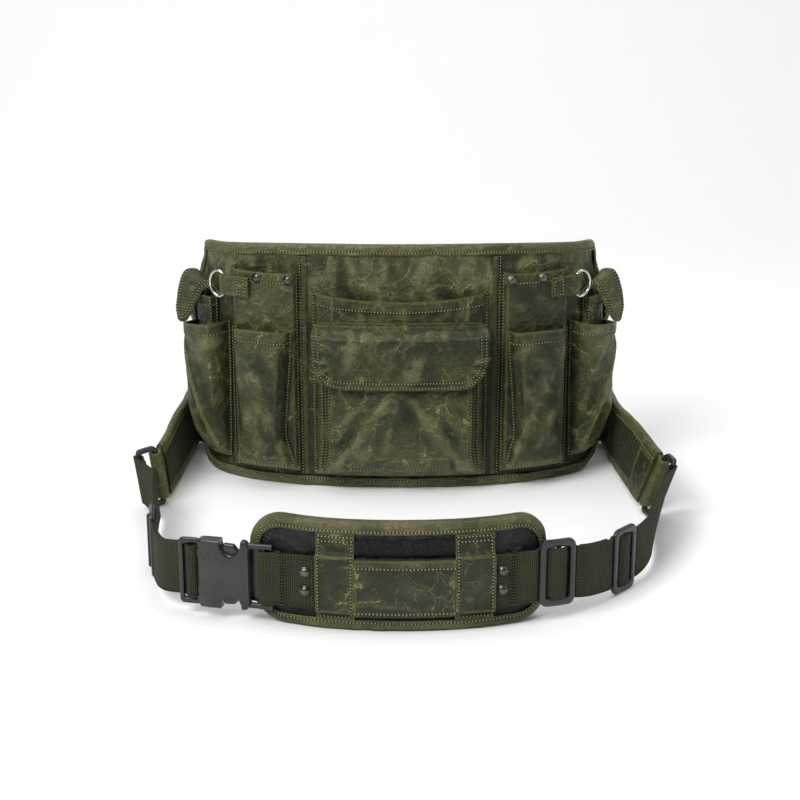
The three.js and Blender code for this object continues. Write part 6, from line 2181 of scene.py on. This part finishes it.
# %% Rivets
def rivet_tree():
    sizes = [
        ("Radius", "NodeSocketFloat", 0.0035), ("Height", "NodeSocketFloat", 0.0022),
        ("Finish", "NodeSocketMaterial", None)
    ]
    tree, given, result = tree_with_inputs("domed_rivets", sizes)
    radius, finish = given.outputs["Radius"], given.outputs["Finish"]
    ball = shaped(tree, "MeshUVSphere", {"Segments": 20, "Rings": 12, "Radius": 1.0})
    size = vector(tree, radius, radius, given.outputs["Height"])
    dome = shaped(tree, "Transform", {"Geometry": ball, "Scale": size})
    wide = times(tree, radius, 1.12)
    collar = shaped(tree, "MeshCylinder", {"Vertices": 24, "Radius": wide, "Depth": 0.0008})
    facing = shaped(tree, "InputNamedAttribute", {"Name": "facing"}, data_type="FLOAT_VECTOR")
    heads = set_along(tree, given.outputs[0], together(tree, dome, collar), facing)
    dressed = shaped(tree, "SetMaterial", {"Geometry": heads, "Material": finish})
    tree.links.new(dressed, result.inputs[0])
    return tree


# %% Eight rivets
def rivets():
    panel_out, strap_out = np.array([9.4, 10.4]), np.array([1.4, 2.4])
    pairs = [on_panel(side * along, 190, panel_out) for side in (-1, 1) for along in (94, 121)]
    for along in (-70.8, 77):
        for share in (0.34, 0.695):
            pairs.append(on_loop(along, rise_at(along) + WEB_WIDE * share, strap_out))
    places = [start for start, _ in pairs]
    facing = np.array([end - start for start, end in pairs], np.float32)
    points = bpy.data.meshes.new("rivet_points")
    points.from_pydata([tuple(p) for p in places], [], [])
    ahead = points.attributes.new("facing", "FLOAT_VECTOR", "POINT")
    ahead.data.foreach_set("vector", facing.ravel())
    values = {"Radius": 0.0039, "Height": 0.0025, "Finish": rivet_look}
    piece = grown("rivet_heads", points, rivet_tree(), values)
    piece.data.materials.clear()
    nodes = [f"pocket_rivet_{a}_{b}" for a in ("inner", "outer") for b in ("left", "right")]
    nodes += [f"rest_rivet_{a}_{b}" for a in ("lower", "upper") for b in ("left", "right")]
    dress(piece, rivet_look, nodes)
    print("rivets:", len(places), "heads,", len(piece.data.polygons), "faces")


rivets()

# %% [markdown]
# ## Stitches
# All the noted seams become curves in one tree. Each curve is cut into even steps, and a short
# thread with a dark dot beside it, painted shade for the needle hole, is set at each step, pointing along
# the seam. Three runs keep the panel's, the strap's and the webbing's seams apart. The webbing is sewn
# finer, in olive.

# %% The stitches' tree
def stitch_tree():
    sizes = [
        ("Pitch", "NodeSocketFloat", 0.0042), ("Thread", "NodeSocketFloat", 0.0004),
        ("Long", "NodeSocketFloat", 0.0029), ("Yarn", "NodeSocketMaterial", None),
        ("Hole", "NodeSocketMaterial", None)
    ]
    tree, given, result = tree_with_inputs("stitches", sizes)
    pitch, thread = given.outputs["Pitch"], given.outputs["Thread"]
    curve = shaped(tree, "MeshToCurve", {"Mesh": given.outputs[0]})
    steps = shaped(tree, "ResampleCurve", {"Curve": curve, "Length": pitch}, mode="LENGTH")
    size = vector(tree, thread, thread, times(tree, given.outputs["Long"], 0.5))
    ball = shaped(tree, "MeshUVSphere", {"Segments": 5, "Rings": 3, "Radius": 1.0})
    yarn = shaped(tree, "Transform", {"Geometry": ball, "Scale": size})
    yarn = shaped(tree, "SetMaterial", {"Geometry": yarn, "Material": given.outputs["Yarn"]})
    # A dark dot between threads is painted shade for the needle hole.
    dot = shaped(tree, "MeshUVSphere", {"Segments": 4, "Rings": 3, "Radius": 1.0})
    wide = times(tree, thread, 1.6)
    away = vector(tree, 0.0, 0.0, times(tree, pitch, 0.5))
    inputs = {"Geometry": dot, "Scale": vector(tree, wide, wide, wide), "Translation": away}
    hole = {"Geometry": shaped(tree, "Transform", inputs), "Material": given.outputs["Hole"]}
    one = together(tree, yarn, shaped(tree, "SetMaterial", hole))
    stitches = set_along(tree, steps, one, node(tree, "GeometryNodeInputTangent").outputs[0])
    tree.links.new(stitches, result.inputs[0])
    return tree


# %% Stitches
def stitched(name, lines, pitch, yarn=thread_look):
    points = np.concatenate(lines)
    starts = np.cumsum([0] + [len(line) for line in lines])
    edges = [(k, k + 1) for a, b in zip(starts[:-1], starts[1:]) for k in range(a, b - 1)]
    start = bpy.data.meshes.new(name + "_runs")
    start.from_pydata([tuple(p) for p in points], edges, [])
    values = {"Pitch": pitch, "Thread": 0.00052, "Long": pitch * 0.72}
    values.update({"Yarn": yarn, "Hole": needle_shade_look})
    piece = grown(name, start, sewing, values)
    triangles = sum(len(p.vertices) - 2 for p in piece.data.polygons)
    print(name, "of", len(lines), "seams:", triangles, "triangles")
    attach(piece, "belt")


sewing = stitch_tree()
middle_y = shift[1] - 0.05
on_the_panel = [line for line in seams if line[:, 1].mean() > middle_y]
on_the_strap = [line for line in seams if line[:, 1].mean() <= middle_y]
stitched("stitches_of_the_panel", on_the_panel, 0.0027)
stitched("stitches_of_the_strap", on_the_strap, 0.0027)
stitched("stitches_of_the_webbing", web_seams, 0.0024, web_thread_look)
